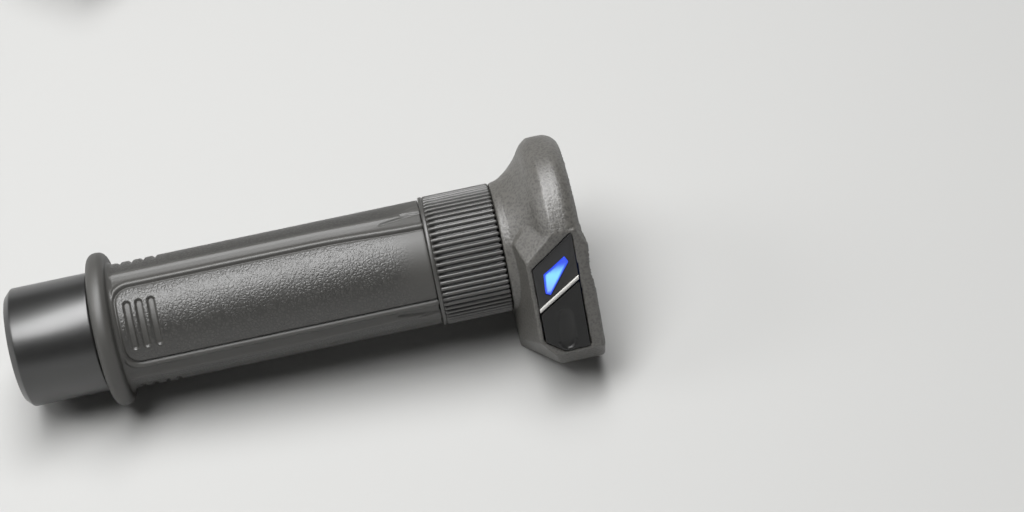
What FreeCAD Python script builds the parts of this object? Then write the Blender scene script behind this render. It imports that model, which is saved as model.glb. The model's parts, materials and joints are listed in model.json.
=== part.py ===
"""Pair of heated motorcycle grips for a 22.2 mm handlebar, laid side by side on a flat surface.

Units are millimetres and +Z is up. Each grip is drawn in its own grip frame: +X runs along the
bar from the outboard end face (0) to the collar's inboard face, -Y is the rider's side and +Z is
up. The grips are then laid down: each rests on its outboard flange and on its collar.
"""
import FreeCAD, Part
import math
import os
from FreeCAD import Placement, Rotation, Vector

# Fit on the handlebar
BAR_DIAMETER = 22.2
LEFT_CLEARANCE = 0.05
THROTTLE_CLEARANCE = 0.10
SLEEVE_WALL = 2.2
RELIEF_STEP = 0.8
RELIEF_LENGTH = 24.0
RUBBER_LIP = 2.0

# Heater layers between sleeve and rubber
LAYER_GAP = 0.05
FILM_THICKNESS = 0.2
FILM_START = 8.0
FILM_END_MARGIN = 3.3
FILM_SPLIT_ANGLE = 6.0
TRACK_THICKNESS = 0.15
TRACK_MARGIN = 2.0
TRACK_STRIPS = 12
TRACK_SLOT = 3.0
TRACK_LINK = 2.4
POCKET_MARGIN = 0.6

# Temperature sensor on the film, in a pocket of the rubber
SENSOR_LENGTH = 3.0
SENSOR_WIDTH = 1.6
SENSOR_HEIGHT = 1.0
SENSOR_POSITION = 50.0

# Rubber grip
RUBBER_LENGTH = 89.3
RUBBER_WALL = 3.05
FLANGE_RISE = 3.9
FLANGE_THICKNESS = 5.0
FLANGE_ROUND = 2.2
FLANGE_ROOT_ROUND = 1.2
PAD_ELEVATION = 50.0
PAD_HALF_ANGLE = 38.0
PAD_START = 6.2
PAD_GROOVE_WIDTH = 0.6
PAD_GROOVE_DEPTH = 0.5
CHANNEL_OUTER_ANGLE = 61.0
CHANNEL_LIP_ANGLE = 3.4
CHANNEL_DEPTH = 0.7
SLOT_COUNT = 3
SLOT_START = 9.6
SLOT_PITCH = 3.2
SLOT_WIDTH = 2.0
SLOT_LENGTH = 13.0
SLOT_DEPTH = 0.5
FINGER_GROOVES = 4
FINGER_START = 7.6
FINGER_PITCH = 3.2
FINGER_WIDTH = 1.2
FINGER_DEPTH = 0.6
FINGER_FIRST_ANGLE = 72.0
FINGER_LAST_ANGLE = 288.0

# Ribbed band between rubber and collar
SEAM = 0.4
BAND_LENGTH = 18.9
BAND_RISE = 0.6
BAND_LIP = 1.0
RIB_COUNT = 64
RIB_GROOVE_WIDTH = 0.6
RIB_GROOVE_DEPTH = 0.5

# Flared collar
COLLAR_LENGTH = 21.0
COLLAR_WALL = 2.0
NECK_STEP = 0.2
NECK_LENGTH = 2.6
NECK_RISE = 0.65
NECK_WALL = 1.4
RIM_RISE = 9.8
RIM_LENGTH = 8.4
CROWN_LENGTH = 3.6
CROWN_DROP = 3.6
FLARE_SAG = 0.35
CROWN_BULGE = 0.4
RIM_ROUND = 5.0
MOUTH_WALL = 3.0

# Lobe of the left collar, bounded by planes: (elevation, turn) is a plane's outward direction, by its
# elevation above the rider's side and its turn from there towards the bar's inboard end
PANEL_ELEVATION = 25.3
PANEL_DROP = 2.5
LOBE_INSET = 0.3
LOBE_PROUD = 0.6
LOBE_BACK = 5.0
LOBE_TOP = 11.7
LOBE_CREASE = -23.1
LOBE_FRONT_ELEVATION = -21.0
LOBE_UNDER_ELEVATION = -61.0
LOBE_UNDER_RISE = 2.8
LOBE_SIDE_LAND = 1.2
LOBE_SIDE_LEAN = 16.0
LOBE_CHAMFER = (-29.3, -46.4)
LOBE_SHOULDER = (63.3, 52.6)
LOBE_SHOULDER_FOOT = 5.2
LOBE_EDGE_CUT = 0.8
FACET_BORDER = [(4.4, 4.3), (12.7, 11.7)]
FACET_ANGLE = 60.0
FACET_CORNER = (3.1, 8.4)
FACET_CORNER_TURN = -49.7

# Panel on the lobe, measured from the collar's outboard face and from the bar axis
PANEL_LEFT = 5.8
PANEL_WIDTH = 11.9
PANEL_TOP_LEFT = 2.7
PANEL_TOP_RIGHT = 11.3
PANEL_BOTTOM = -22.2
PANEL_BOTTOM_LEFT = -18.6
PANEL_BOTTOM_CORNER = 4.7
PANEL_GAP = 0.1
FASCIA_THICKNESS = 1.0
STRIP_LEFT = -9.5
STRIP_RIGHT = -1.7
STRIP_WIDTH = 1.3
STRIP_PROUD = 0.3
STRIP_BED = 0.6

# Light window and its lamp
WINDOW_OUTLINE = [(14.7, 4.7), (15.5, 3.0), (9.5, -5.3), (8.3, -4.7), (8.7, 0.8), (10.8, 2.1)]
WINDOW_GAP = 0.1
WINDOW_DEPTH = 6.4
WINDOW_FLANGE = 0.6
WINDOW_FLANGE_THICKNESS = 0.8
LAMP_CENTRE = (11.2, 0.0)
LAMP_SIZE = (3.0, 3.4, 1.3)

# Push button, its switch and its travel
BUTTON_GAP = 0.25
BUTTON_PROUD = 0.4
BUTTON_TRAVEL = 0.5
BUTTON_FLANGE = 0.45
BUTTON_FLANGE_THICKNESS = 0.8
BUTTON_FLANGE_GAP = 0.3
BUTTON_POST_RADIUS = 1.5
BUTTON_CENTRE = (12.0, -15.6)
DIMPLE_HALF_WIDTH = 2.6
DIMPLE_HALF_LENGTH = 6.0
DIMPLE_DEPTH = 0.8
SWITCH_SIZE = 6.0
SWITCH_HEIGHT = 3.4
PLUNGER_RADIUS = 1.6
PLUNGER_GAP = 0.1
PLUNGER_PROUD = 0.6
PLUNGER_SUNK = 0.9
PLUNGER_ROOM = 0.2

# Circuit board, parallel to the panel
BOARD_DEPTH = 8.2
BOARD_THICKNESS = 1.0
BOARD_MARGIN = 0.6
BOARD_LEFT = 5.0
BOARD_BOTTOM = -21.0
BOARD_TOP = 9.2
BOARD_CORNER = (2.2, 2.0)
BOARD_POSTS = [(7.6, 5.2), (15.3, 7.2)]
BOARD_POST_RADIUS = 1.5
BOARD_SCREW_RADIUS = 0.8
BOARD_SCREW_HEAD_RADIUS = 1.4
BOARD_SCREW_HEAD_HEIGHT = 0.8
BOARD_SCREW_LENGTH = 4.0
BOARD_LEDGE = (2.0, 3.0, 2.0)
SOCKET_SIZE = (7.0, 6.0, 3.6)
SOCKET_CENTRE = (11.5, -15.5)
SOCKET_WALL = 0.7

# Heater leads in a groove of the sleeve
LEAD_RADIUS = 0.5
LEAD_SPACING = 1.5
LEAD_START_MARGIN = 2.0
LEAD_BEND = 1.5
LEFT_LEAD_RISE = 5.6
LEAD_END_GAP = 0.05
GROOVE_WIDTH = 3.2
GROOVE_DEPTH = 1.3

# Collar cover, its screws and the cable gland
COVER_THICKNESS = 2.4
COVER_RECESS = 0.6
COVER_GAP = 0.15
BOSS_RADIUS = 2.6
BOSS_CIRCLE = 20.0
LOBE_BOSS_CIRCLE = 25.3
LEFT_BOSSES = [(95.0, BOSS_CIRCLE), (210.0, BOSS_CIRCLE), (-42.0, LOBE_BOSS_CIRCLE)]
RIGHT_BOSSES = [(95.0, BOSS_CIRCLE), (215.0, BOSS_CIRCLE), (-25.0, BOSS_CIRCLE)]
SCREW_RADIUS = 1.2
SCREW_GAP = 0.05
SCREW_HEAD_RADIUS = 2.3
SCREW_HEAD_HEIGHT = 1.3
SCREW_LENGTH = 8.0
GLAND_RADIUS = 2.6
GLAND_GAP = 0.05
GLAND_BORE = 1.5
GLAND_LIP = 0.8
GLAND_LIP_THICKNESS = 0.9
LEFT_GLAND_CIRCLE = 20.0
DRUM_CABLE_GAP = 0.6
LEFT_GLAND = (-33.0, LEFT_GLAND_CIRCLE)

# Terminal block inside the right collar
TERMINAL_SIZE = (6.0, 8.0, 4.6)
TERMINAL_POSITION = 13.2
TERMINAL_LIFT = 2.2
RIGHT_LEAD_RISE = TERMINAL_POSITION - TERMINAL_SIZE[0] / 2 + 2 * LEAD_RADIUS

# Bar end weight and its bolt
WEIGHT_RADIUS = 16.1
WEIGHT_LENGTH = 22.7
WEIGHT_GAP = 0.4
WEIGHT_CHAMFER = 1.8
SPIGOT_RADIUS = 8.6
SPIGOT_LENGTH = 4.4
BOLT_RADIUS = 4.0
BOLT_GAP = 0.15
BOLT_HEAD_RADIUS = 6.5
BOLT_HEAD_HEIGHT = 8.0
BOLT_HEAD_SUNK = 1.0
BOLT_REACH = 20.0
SOCKET_FLATS = 6.0
SOCKET_DEPTH = 4.0

# Cable drum at the inboard end of the throttle tube
DRUM_GAP = 1.2
DRUM_LENGTH = 8.0
DRUM_RADIUS = 18.6
DRUM_GROOVE_WIDTH = 2.4
DRUM_GROOVE_DEPTH = 3.0
NIPPLE_RADIUS = 2.4
NIPPLE_INSET = 2.7
NIPPLE_ELEVATION = 60.0

# The right cable leaves its gland just outside the drum
RIGHT_GLAND = (30.0, DRUM_RADIUS + GLAND_BORE + DRUM_CABLE_GAP)

# Lay-out of the pair
PAIR_SPACING = 180.0

# Derived radii, from the bar outwards
BORE_R = BAR_DIAMETER / 2 + LEFT_CLEARANCE
THROTTLE_BORE_R = BAR_DIAMETER / 2 + THROTTLE_CLEARANCE
SLEEVE_R = BORE_R + SLEEVE_WALL
RELIEF_R = BORE_R + RELIEF_STEP
SEAT_R = SLEEVE_R + LAYER_GAP
FILM_R = SEAT_R + FILM_THICKNESS
TRACK_IN_R = FILM_R + LAYER_GAP
TRACK_R = TRACK_IN_R + TRACK_THICKNESS
POCKET_R = TRACK_R + LAYER_GAP
RUBBER_R = POCKET_R + RUBBER_WALL
FLANGE_R = RUBBER_R + FLANGE_RISE
BAND_R = RUBBER_R + BAND_RISE
NECK_R = BAND_R - NECK_STEP
RIM_R = BAND_R + RIM_RISE
MOUTH_R = RIM_R - MOUTH_WALL
PANEL_DISTANCE = RIM_R - PANEL_DROP

# Derived places along the bar
FILM_LENGTH = RUBBER_LENGTH - FILM_START - FILM_END_MARGIN
FILM_END = FILM_START + FILM_LENGTH
TRACK_START = FILM_START + TRACK_MARGIN
TRACK_END = FILM_END - TRACK_MARGIN
BAND_START = RUBBER_LENGTH + SEAM
COLLAR_START = BAND_START + BAND_LENGTH + SEAM
COLLAR_END = COLLAR_START + COLLAR_LENGTH
COVER_OUT = COLLAR_END - COVER_RECESS
COVER_IN = COVER_OUT - COVER_THICKNESS
RIM_START = COLLAR_END - RIM_LENGTH
LOBE_START = COLLAR_START + LOBE_INSET
LOBE_END = COLLAR_END + LOBE_PROUD
DRUM_START = COLLAR_END + DRUM_GAP
DRUM_END = DRUM_START + DRUM_LENGTH
BOARD_TOP_W = -BOARD_DEPTH
BOARD_BACK_W = BOARD_TOP_W - BOARD_THICKNESS

# The surface underneath touches the flange's rounded rim and the start of the collar's rim
RIM_SPAN = RIM_START - FLANGE_ROUND
RIM_FALL = RIM_R - (FLANGE_R - FLANGE_ROUND)
TILT = math.atan2(RIM_FALL, RIM_SPAN) - math.asin(FLANGE_ROUND / math.hypot(RIM_SPAN, RIM_FALL))
FAR = 200.0
AXIS = Vector(1, 0, 0)
DOWN = Vector(-math.sin(TILT), 0, -math.cos(TILT))


def outward(elevation):
    """Direction away from the bar axis, by its elevation above the rider's side."""
    angle = math.radians(elevation)
    return Vector(0, -math.cos(angle), math.sin(angle))


def facing(elevation, distance):
    """Placement of a flat sketch (u along the bar, v up, w outwards) that far from the axis."""
    return Placement(outward(elevation) * distance, Rotation(AXIS, 90 - elevation))


PANEL = facing(PANEL_ELEVATION, PANEL_DISTANCE)


def tube(x0, x1, outer, inner):
    ring = Part.makeCylinder(outer, x1 - x0, Vector(x0, 0, 0), AXIS)
    return ring.cut(Part.makeCylinder(inner, x1 - x0, Vector(x0, 0, 0), AXIS))


def rod(x0, x1, radius, centre=Vector(0, 0, 0)):
    return Part.makeCylinder(radius, x1 - x0, Vector(x0, 0, 0) + centre, AXIS)


def turned(points):
    """Solid turned about the bar axis from (x, radius) points."""
    wire = Part.makePolygon([Vector(x, 0, r) for x, r in points + points[:1]])
    return Part.Face(wire).revolve(Vector(0, 0, 0), AXIS, 360)


def sector(x0, x1, r0, r1, first, last):
    """Part of a ring between two elevations."""
    a = outward(first)
    corners = [Vector(x0, 0, 0) + a * r0, Vector(x1, 0, 0) + a * r0,
               Vector(x1, 0, 0) + a * r1, Vector(x0, 0, 0) + a * r1]
    face = Part.Face(Part.makePolygon(corners + corners[:1]))
    return face.revolve(Vector(0, 0, 0), -AXIS, last - first)


def prism(outline, w0, w1, grow=0.0):
    """Flat outline of (u, v) points, grown by a margin, between two heights."""
    wire = Part.makePolygon([Vector(u, v, w0) for u, v in outline + outline[:1]])
    face = Part.Face(wire)
    if grow:
        face = face.makeOffset2D(grow, join=2)
    return face.extrude(Vector(0, 0, w1 - w0))


def block(centre, size, w0, w1):
    """Upright box on a sketch, by its centre (u, v) and its size along u and v."""
    u, v = centre
    return Part.makeBox(size[0], size[1], w1 - w0, Vector(u - size[0] / 2, v - size[1] / 2, w0))


def placed(shape, placement):
    result = shape.copy()
    result.Placement = placement.multiply(result.Placement)
    return result


def cut_beyond(shape, point, normal):
    """The shape without what lies beyond a plane."""
    wall = Part.makeBox(2 * FAR, 2 * FAR, FAR, Vector(-FAR, -FAR, 0))
    turn = Rotation(Vector(0, 0, 1), normal)
    return shape.cut(placed(wall, Placement(point, turn)))


def on_panel(shape):
    """A shape drawn on the panel, with u from the collar's outboard face and w = 0 at its front."""
    return placed(shape, PANEL.multiply(Placement(Vector(COLLAR_START, 0, 0), Rotation())))


def sleeve(bore, end, lead_rise):
    """Sleeve on the bar, relieved over the bolt's reach, with a groove for the heater leads."""
    body = tube(RUBBER_LIP, end, SLEEVE_R, bore)
    body = body.cut(rod(RUBBER_LIP, RELIEF_LENGTH, RELIEF_R))
    groove_start = FILM_END - TRACK_MARGIN - LEAD_START_MARGIN
    groove_end = COLLAR_START + lead_rise + LEAD_RADIUS + LEAD_BEND
    centre = ((groove_start + groove_end) / 2, 0)
    groove = block(centre, (groove_end - groove_start, GROOVE_WIDTH), -GROOVE_DEPTH, GROOVE_DEPTH)
    return body.cut(placed(groove, facing(PANEL_ELEVATION, SLEEVE_R)))


def heater_film():
    """Carrier film wrapped round the sleeve, its edges a few degrees apart."""
    half = FILM_SPLIT_ANGLE / 2
    return sector(FILM_START, FILM_END, SEAT_R, FILM_R,
                  PANEL_ELEVATION + half, PANEL_ELEVATION + 360 - half)


def heater_track():
    """Heating track: strips along the grip, linked at alternate ends into one path."""
    ring = tube(TRACK_START, TRACK_END, TRACK_R, TRACK_IN_R)
    slots = []
    for i in range(TRACK_STRIPS):
        x0 = TRACK_START - TRACK_MARGIN if i % 2 == 0 else TRACK_START + TRACK_LINK
        x1 = TRACK_END + TRACK_MARGIN if i % 2 or i == 0 else TRACK_END - TRACK_LINK
        slot = block(((x0 + x1) / 2, 0), (x1 - x0, TRACK_SLOT), -SLEEVE_R, TRACK_R)
        elevation = PANEL_ELEVATION + i * 360 / TRACK_STRIPS
        slots.append(placed(slot, facing(elevation, SLEEVE_R)))
    return ring.cut(Part.makeCompound(slots))


def sensor_block(gap):
    """Room of the temperature sensor, between two strips of the track on the far side."""
    size = (SENSOR_LENGTH + 2 * gap, SENSOR_WIDTH + 2 * gap)
    body = block((SENSOR_POSITION, 0), size, 0, SENSOR_HEIGHT + gap)
    return placed(body, facing(PANEL_ELEVATION + 180, TRACK_IN_R + SENSOR_WIDTH ** 2 / (8 * FILM_R)))


def grip_slot(position):
    """Cutter of one recessed slot with round ends, across the palm pad."""
    radius = SLOT_WIDTH / 2
    half = math.degrees((SLOT_LENGTH / 2 - radius) / RUBBER_R)
    floor = RUBBER_R - SLOT_DEPTH
    middle = sector(position - radius, position + radius, SEAT_R, FLANGE_R,
                    PAD_ELEVATION - half, PAD_ELEVATION + half)
    pin = Part.makeCylinder(radius, FLANGE_R - SEAT_R, Vector(position, 0, 0))
    ends = [placed(pin, facing(PAD_ELEVATION + end, SEAT_R)) for end in (-half, half)]
    return middle.fuse(ends).cut(rod(position - SLOT_WIDTH, position + SLOT_WIDTH, floor))


def grip_rubber():
    """Rubber grip: outboard flange, grained palm pad, side channels and finger ribs."""
    lands = [(FINGER_START + i * FINGER_PITCH - (FINGER_PITCH - FINGER_WIDTH) / 2, RUBBER_R)
             for i in range(1, FINGER_GROOVES + 1)]
    outer = turned([(0, RELIEF_R), (0, FLANGE_R), (FLANGE_THICKNESS, FLANGE_R),
                    (FLANGE_THICKNESS, RUBBER_R)] + lands +
                   [(RUBBER_LENGTH, RUBBER_R), (RUBBER_LENGTH, SEAT_R),
                    (FILM_END + POCKET_MARGIN, SEAT_R), (FILM_END + POCKET_MARGIN, POCKET_R),
                    (FILM_START - POCKET_MARGIN, POCKET_R), (FILM_START - POCKET_MARGIN, SEAT_R),
                    (RUBBER_LIP, SEAT_R), (RUBBER_LIP, RELIEF_R)])
    rims = [e for e in outer.Edges if is_ring(e, FLANGE_R)]
    outer = outer.makeFillet(FLANGE_ROUND, rims)
    roots = [e for e in outer.Edges if is_ring(e, RUBBER_R) and e.BoundBox.XMax < PAD_START]
    outer = outer.makeFillet(FLANGE_ROOT_ROUND, roots)
    cutters = [grip_slot(SLOT_START + i * SLOT_PITCH) for i in range(SLOT_COUNT)]
    lip = PAD_HALF_ANGLE + CHANNEL_LIP_ANGLE
    groove_floor = RUBBER_R - PAD_GROOVE_DEPTH
    groove_angle = math.degrees(PAD_GROOVE_WIDTH / RUBBER_R)
    cutters.append(sector(PAD_START, PAD_START + PAD_GROOVE_WIDTH, groove_floor, FLANGE_R,
                          PAD_ELEVATION - PAD_HALF_ANGLE, PAD_ELEVATION + PAD_HALF_ANGLE))
    for side in (-1, 1):
        ends = sorted((side * PAD_HALF_ANGLE, side * (PAD_HALF_ANGLE - groove_angle)))
        cutters.append(sector(PAD_START, RUBBER_LENGTH, groove_floor, FLANGE_R,
                              PAD_ELEVATION + ends[0], PAD_ELEVATION + ends[1]))
        ends = sorted((side * lip, side * CHANNEL_OUTER_ANGLE))
        cutters.append(sector(PAD_START, RUBBER_LENGTH, RUBBER_R - CHANNEL_DEPTH, FLANGE_R,
                              PAD_ELEVATION + ends[0], PAD_ELEVATION + ends[1]))
    for i in range(FINGER_GROOVES):
        x = FINGER_START + i * FINGER_PITCH
        cutters.append(sector(x, x + FINGER_WIDTH, RUBBER_R - FINGER_DEPTH, FLANGE_R,
                              PAD_ELEVATION + FINGER_FIRST_ANGLE, PAD_ELEVATION + FINGER_LAST_ANGLE))
    return outer.cut(cutters + [sensor_block(LAYER_GAP)])


def is_ring(edge, radius):
    """Whether an edge is a full circle of that radius about the bar axis."""
    return isinstance(edge.Curve, Part.Circle) and abs(edge.Curve.Radius - radius) < 1e-6


def ribbed_band():
    """Band of fine ribs along the bar, plain at its outboard lip."""
    end = BAND_START + BAND_LENGTH
    body = tube(BAND_START, end, BAND_R, SEAT_R)
    length = BAND_LENGTH - BAND_LIP + SEAM
    grooves = []
    for i in range(RIB_COUNT):
        groove = block((BAND_START + BAND_LIP + length / 2, 0), (length, RIB_GROOVE_WIDTH),
                       -RIB_GROOVE_DEPTH, RIB_GROOVE_DEPTH)
        grooves.append(placed(groove, facing(i * 360 / RIB_COUNT, BAND_R)))
    return body.cut(Part.makeCompound(grooves))


def flare(shrink, start, end, end_round):
    """Trumpet of the collar, turned about the bar axis and drawn in by a wall thickness."""
    shift = shrink / 2
    neck = (COLLAR_START + NECK_LENGTH + shift, NECK_R + NECK_RISE - shrink)
    crown = (RIM_START - CROWN_LENGTH + shift, RIM_R - CROWN_DROP - shrink)
    rim = (RIM_START + shift, RIM_R - shrink)
    mid = ((neck[0] + crown[0]) / 2 + FLARE_SAG, (neck[1] + crown[1]) / 2 - FLARE_SAG)
    top = ((crown[0] + rim[0]) / 2 - CROWN_BULGE / 2, (crown[1] + rim[1]) / 2 + CROWN_BULGE)
    at = [Vector(x, 0, r) for x, r in (neck, mid, crown, top, rim)]
    first = Vector(start, 0, NECK_R - shrink)
    edges = [Part.makeLine(Vector(start, 0, 0), first), Part.makeLine(first, at[0]),
             Part.Arc(at[0], at[1], at[2]).toShape(), Part.Arc(at[2], at[3], at[4]).toShape()]
    last = Vector(end - end_round, 0, RIM_R - shrink)
    edges.append(Part.makeLine(at[4], last))
    if end_round:
        centre = Vector(end - end_round, 0, RIM_R - end_round)
        turn = math.radians(45)
        via = centre + Vector(math.cos(turn), 0, math.sin(turn)) * end_round
        corner = Vector(end, 0, RIM_R - end_round)
        edges.append(Part.Arc(last, via, corner).toShape())
        last = corner
    edges.append(Part.makeLine(last, Vector(end, 0, 0)))
    edges.append(Part.makeLine(Vector(end, 0, 0), Vector(start, 0, 0)))
    return Part.Face(Part.Wire(edges)).revolve(Vector(0, 0, 0), AXIS, 360)


def floor_point():
    """Where the collar's rim touches the surface that the grip lies on."""
    return Vector(RIM_START, 0, -RIM_R)


def panel_outline(margin=0.0):
    """Corners of the black panel, in (u, v) from the collar's outboard face."""
    left, right = PANEL_LEFT + margin, PANEL_LEFT + PANEL_WIDTH - margin
    return [(left, PANEL_TOP_LEFT - margin), (left, PANEL_BOTTOM_LEFT + margin),
            (PANEL_LEFT + PANEL_BOTTOM_CORNER, PANEL_BOTTOM + margin), (right, PANEL_BOTTOM + margin),
            (right, PANEL_TOP_RIGHT - margin)]


def strip_height(u, offset=0.0):
    """Height of the slanted strip's middle line at u, or of a line that far above it."""
    slope = (STRIP_RIGHT - STRIP_LEFT) / PANEL_WIDTH
    return STRIP_LEFT + slope * (u - PANEL_LEFT) + offset * math.hypot(1, slope)


def button_outline():
    """Lower part of the panel, under the strip."""
    left, right = PANEL_LEFT, PANEL_LEFT + PANEL_WIDTH
    below = -STRIP_WIDTH / 2
    return [(left, strip_height(left, below)), (left, PANEL_BOTTOM_LEFT),
            (left + PANEL_BOTTOM_CORNER, PANEL_BOTTOM), (right, PANEL_BOTTOM),
            (right, strip_height(right, below))]


def fascia_outline():
    """Upper part of the panel, down to the strip's lower edge."""
    left, right = PANEL_LEFT, PANEL_LEFT + PANEL_WIDTH
    below = -STRIP_WIDTH / 2
    return [(left, PANEL_TOP_LEFT), (left, strip_height(left, below)),
            (right, strip_height(right, below)), (right, PANEL_TOP_RIGHT)]


def strip_outline(margin):
    """Slanted strip across the panel."""
    left, right = PANEL_LEFT + margin, PANEL_LEFT + PANEL_WIDTH - margin
    half = STRIP_WIDTH / 2 - margin
    return [(left, strip_height(left, half)), (left, strip_height(left, -half)),
            (right, strip_height(right, -half)), (right, strip_height(right, half))]


def slanted(elevation, turn):
    """Direction at that elevation, turned from there towards the bar's inboard end."""
    angle = math.radians(turn)
    return outward(elevation) * math.cos(angle) + AXIS * math.sin(angle)


def panel_point(u, v):
    """Point in the panel's plane, in (u, v) from the collar's outboard face."""
    return PANEL.multVec(Vector(COLLAR_START + u, v, 0))


def below_panel(shape, depth):
    """The shape without what stands above a level that deep under the panel."""
    direction = outward(PANEL_ELEVATION)
    return cut_beyond(shape, panel_point(0, 0) - direction * depth, direction)


def facet_plane():
    """Facet that falls away above the panel, from its border in the panel's plane."""
    start, end = [panel_point(u, v) for u, v in FACET_BORDER]
    across = outward(PANEL_ELEVATION).cross(end - start).normalize()
    turn = math.radians(FACET_ANGLE)
    return start, across * math.sin(turn) + outward(PANEL_ELEVATION) * math.cos(turn)


def lobe_planes():
    """Planes that bound the lobe, each as a point and its outward direction."""
    side = PANEL_LEFT - LOBE_SIDE_LAND
    under = outward(LOBE_UNDER_ELEVATION)
    return [(panel_point(0, 0), outward(PANEL_ELEVATION)),
            (panel_point(0, LOBE_TOP), outward(PANEL_ELEVATION + 90)),
            (panel_point(0, LOBE_CREASE), outward(LOBE_FRONT_ELEVATION)),
            (under * (RIM_R + LOBE_UNDER_RISE), under),
            (floor_point(), DOWN),
            (panel_point(side, 0), slanted(PANEL_ELEVATION, LOBE_SIDE_LEAN - 90)),
            (panel_point(side, PANEL_BOTTOM_LEFT), slanted(*LOBE_CHAMFER)),
            (panel_point(LOBE_END - COLLAR_START, LOBE_SHOULDER_FOOT), slanted(*LOBE_SHOULDER)),
            (panel_point(*FACET_CORNER), slanted(PANEL_ELEVATION + 90, FACET_CORNER_TURN)),
            facet_plane()]


def lobe(inset):
    """Lobe that carries the panel, drawn in by a wall thickness and open at its inboard end."""
    body = Part.makeBox(LOBE_END - LOBE_START - inset, 2 * RIM_R, 4 * RIM_R,
                        Vector(LOBE_START + inset, LOBE_BACK - inset - 2 * RIM_R, -2 * RIM_R))
    for point, direction in lobe_planes():
        body = cut_beyond(body, point - direction * inset, direction)
    return body


def lobe_edges_eased(body):
    """The lobe with its inboard edges taken off at 45 degrees."""
    for elevation, v in ((PANEL_ELEVATION, 0), (LOBE_FRONT_ELEVATION, LOBE_CREASE)):
        direction = outward(elevation)
        point = panel_point(LOBE_END - COLLAR_START, v) - direction * LOBE_EDGE_CUT
        body = cut_beyond(body, point, (direction + AXIS).normalize())
    return body


def boss_centre(boss):
    elevation, circle = boss
    return outward(elevation) * circle


def boss_rods(bosses, radius, x0, x1):
    return [rod(x0, x1, radius, boss_centre(boss)) for boss in bosses]


def collar_shell(outer, cavity, bosses, standing):
    """Moulded collar: hollow, open inboard, with screw bosses and whatever stands inside it."""
    pillars = boss_rods(bosses, BOSS_RADIUS, COLLAR_START, COVER_IN)
    hollow = cavity.cut(pillars + standing)
    holes = boss_rods(bosses, SCREW_RADIUS + SCREW_GAP, COVER_OUT - SCREW_LENGTH - SCREW_HEAD_HEIGHT,
                      COLLAR_END)
    bore = rod(COLLAR_START, COLLAR_END, SEAT_R)
    mouth = rod(COVER_IN - MOUTH_WALL, LOBE_END, MOUTH_R)
    return outer.cut([hollow, bore, mouth.cut(pillars)] + holes)


def cavity_start():
    return COLLAR_START + NECK_LENGTH + NECK_WALL


def flare_room():
    """Room inside a collar's trumpet, up to the cover."""
    return flare(COLLAR_WALL, cavity_start(), COVER_IN, 0)


def left_collar_shell():
    trumpet = flare(0, COLLAR_START, COLLAR_END, RIM_ROUND)
    outer = below_panel(trumpet, 0).fuse(lobe_edges_eased(lobe(0)))
    cavity = below_panel(flare_room(), COLLAR_WALL).fuse(lobe(COLLAR_WALL))
    ledge_u, ledge_v, ledge_w = BOARD_LEDGE
    posts = [on_panel(Part.makeCylinder(BOARD_POST_RADIUS, BOARD_DEPTH, Vector(u, v, BOARD_TOP_W)))
             for u, v in BOARD_POSTS]
    ledge = Part.makeBox(BOARD_LEFT + ledge_u - LOBE_INSET, ledge_v, ledge_w,
                         Vector(LOBE_INSET, BOARD_BOTTOM, BOARD_TOP_W))
    shell = collar_shell(outer, cavity, LEFT_BOSSES, posts + [on_panel(ledge)])
    pocket = prism(panel_outline(), -FASCIA_THICKNESS, STRIP_PROUD + RIM_ROUND)
    opening = prism(button_outline(), -2 * COLLAR_WALL - FASCIA_THICKNESS / 2, STRIP_PROUD)
    window = prism(WINDOW_OUTLINE, -2 * COLLAR_WALL, STRIP_PROUD, WINDOW_GAP)
    screws = [Part.makeCylinder(BOARD_SCREW_RADIUS + SCREW_GAP, BOARD_SCREW_LENGTH,
                                Vector(u, v, BOARD_TOP_W)) for u, v in BOARD_POSTS]
    return shell.cut([on_panel(s) for s in [pocket, opening, window] + screws])


def collar_cover(plate, bosses, gland):
    """Plate that closes a collar's inboard side, round the sleeve."""
    holes = boss_rods(bosses, SCREW_RADIUS + SCREW_GAP, COVER_IN, COVER_OUT)
    sinks = boss_rods(bosses, SCREW_HEAD_RADIUS + SCREW_GAP, COVER_OUT - SCREW_HEAD_HEIGHT, COVER_OUT)
    outlet = rod(COVER_IN, COVER_OUT, GLAND_RADIUS + GLAND_GAP, boss_centre(gland))
    return plate.cut([rod(COVER_IN, COVER_OUT, SEAT_R), outlet] + holes + sinks)


def left_collar_cover():
    inset = COLLAR_WALL + COVER_GAP
    slab = Part.makeBox(COVER_THICKNESS, 2 * FAR, 2 * FAR, Vector(COVER_IN, -FAR, -FAR))
    plate = rod(COVER_IN, COVER_OUT, MOUTH_R - COVER_GAP).fuse(lobe(inset).common(slab))
    return collar_cover(plate, LEFT_BOSSES, LEFT_GLAND)


def cover_screws(bosses):
    """Flat-headed screws that hold a collar's cover."""
    screws = []
    for boss in bosses:
        centre = boss_centre(boss)
        head = rod(COVER_OUT - SCREW_HEAD_HEIGHT, COVER_OUT, SCREW_HEAD_RADIUS, centre)
        tip = COVER_OUT - SCREW_HEAD_HEIGHT - SCREW_LENGTH + 2 * SCREW_GAP
        shank = rod(tip, COVER_OUT - SCREW_HEAD_HEIGHT, SCREW_RADIUS, centre)
        slot = Part.makeBox(SCREW_HEAD_HEIGHT / 2, 2 * SCREW_HEAD_RADIUS, SCREW_RADIUS / 2,
                            centre + Vector(COVER_OUT - SCREW_HEAD_HEIGHT / 2, -SCREW_HEAD_RADIUS,
                                            -SCREW_RADIUS / 4))
        screws.append(head.fuse(shank).cut(slot))
    return Part.makeCompound(screws)


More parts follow.
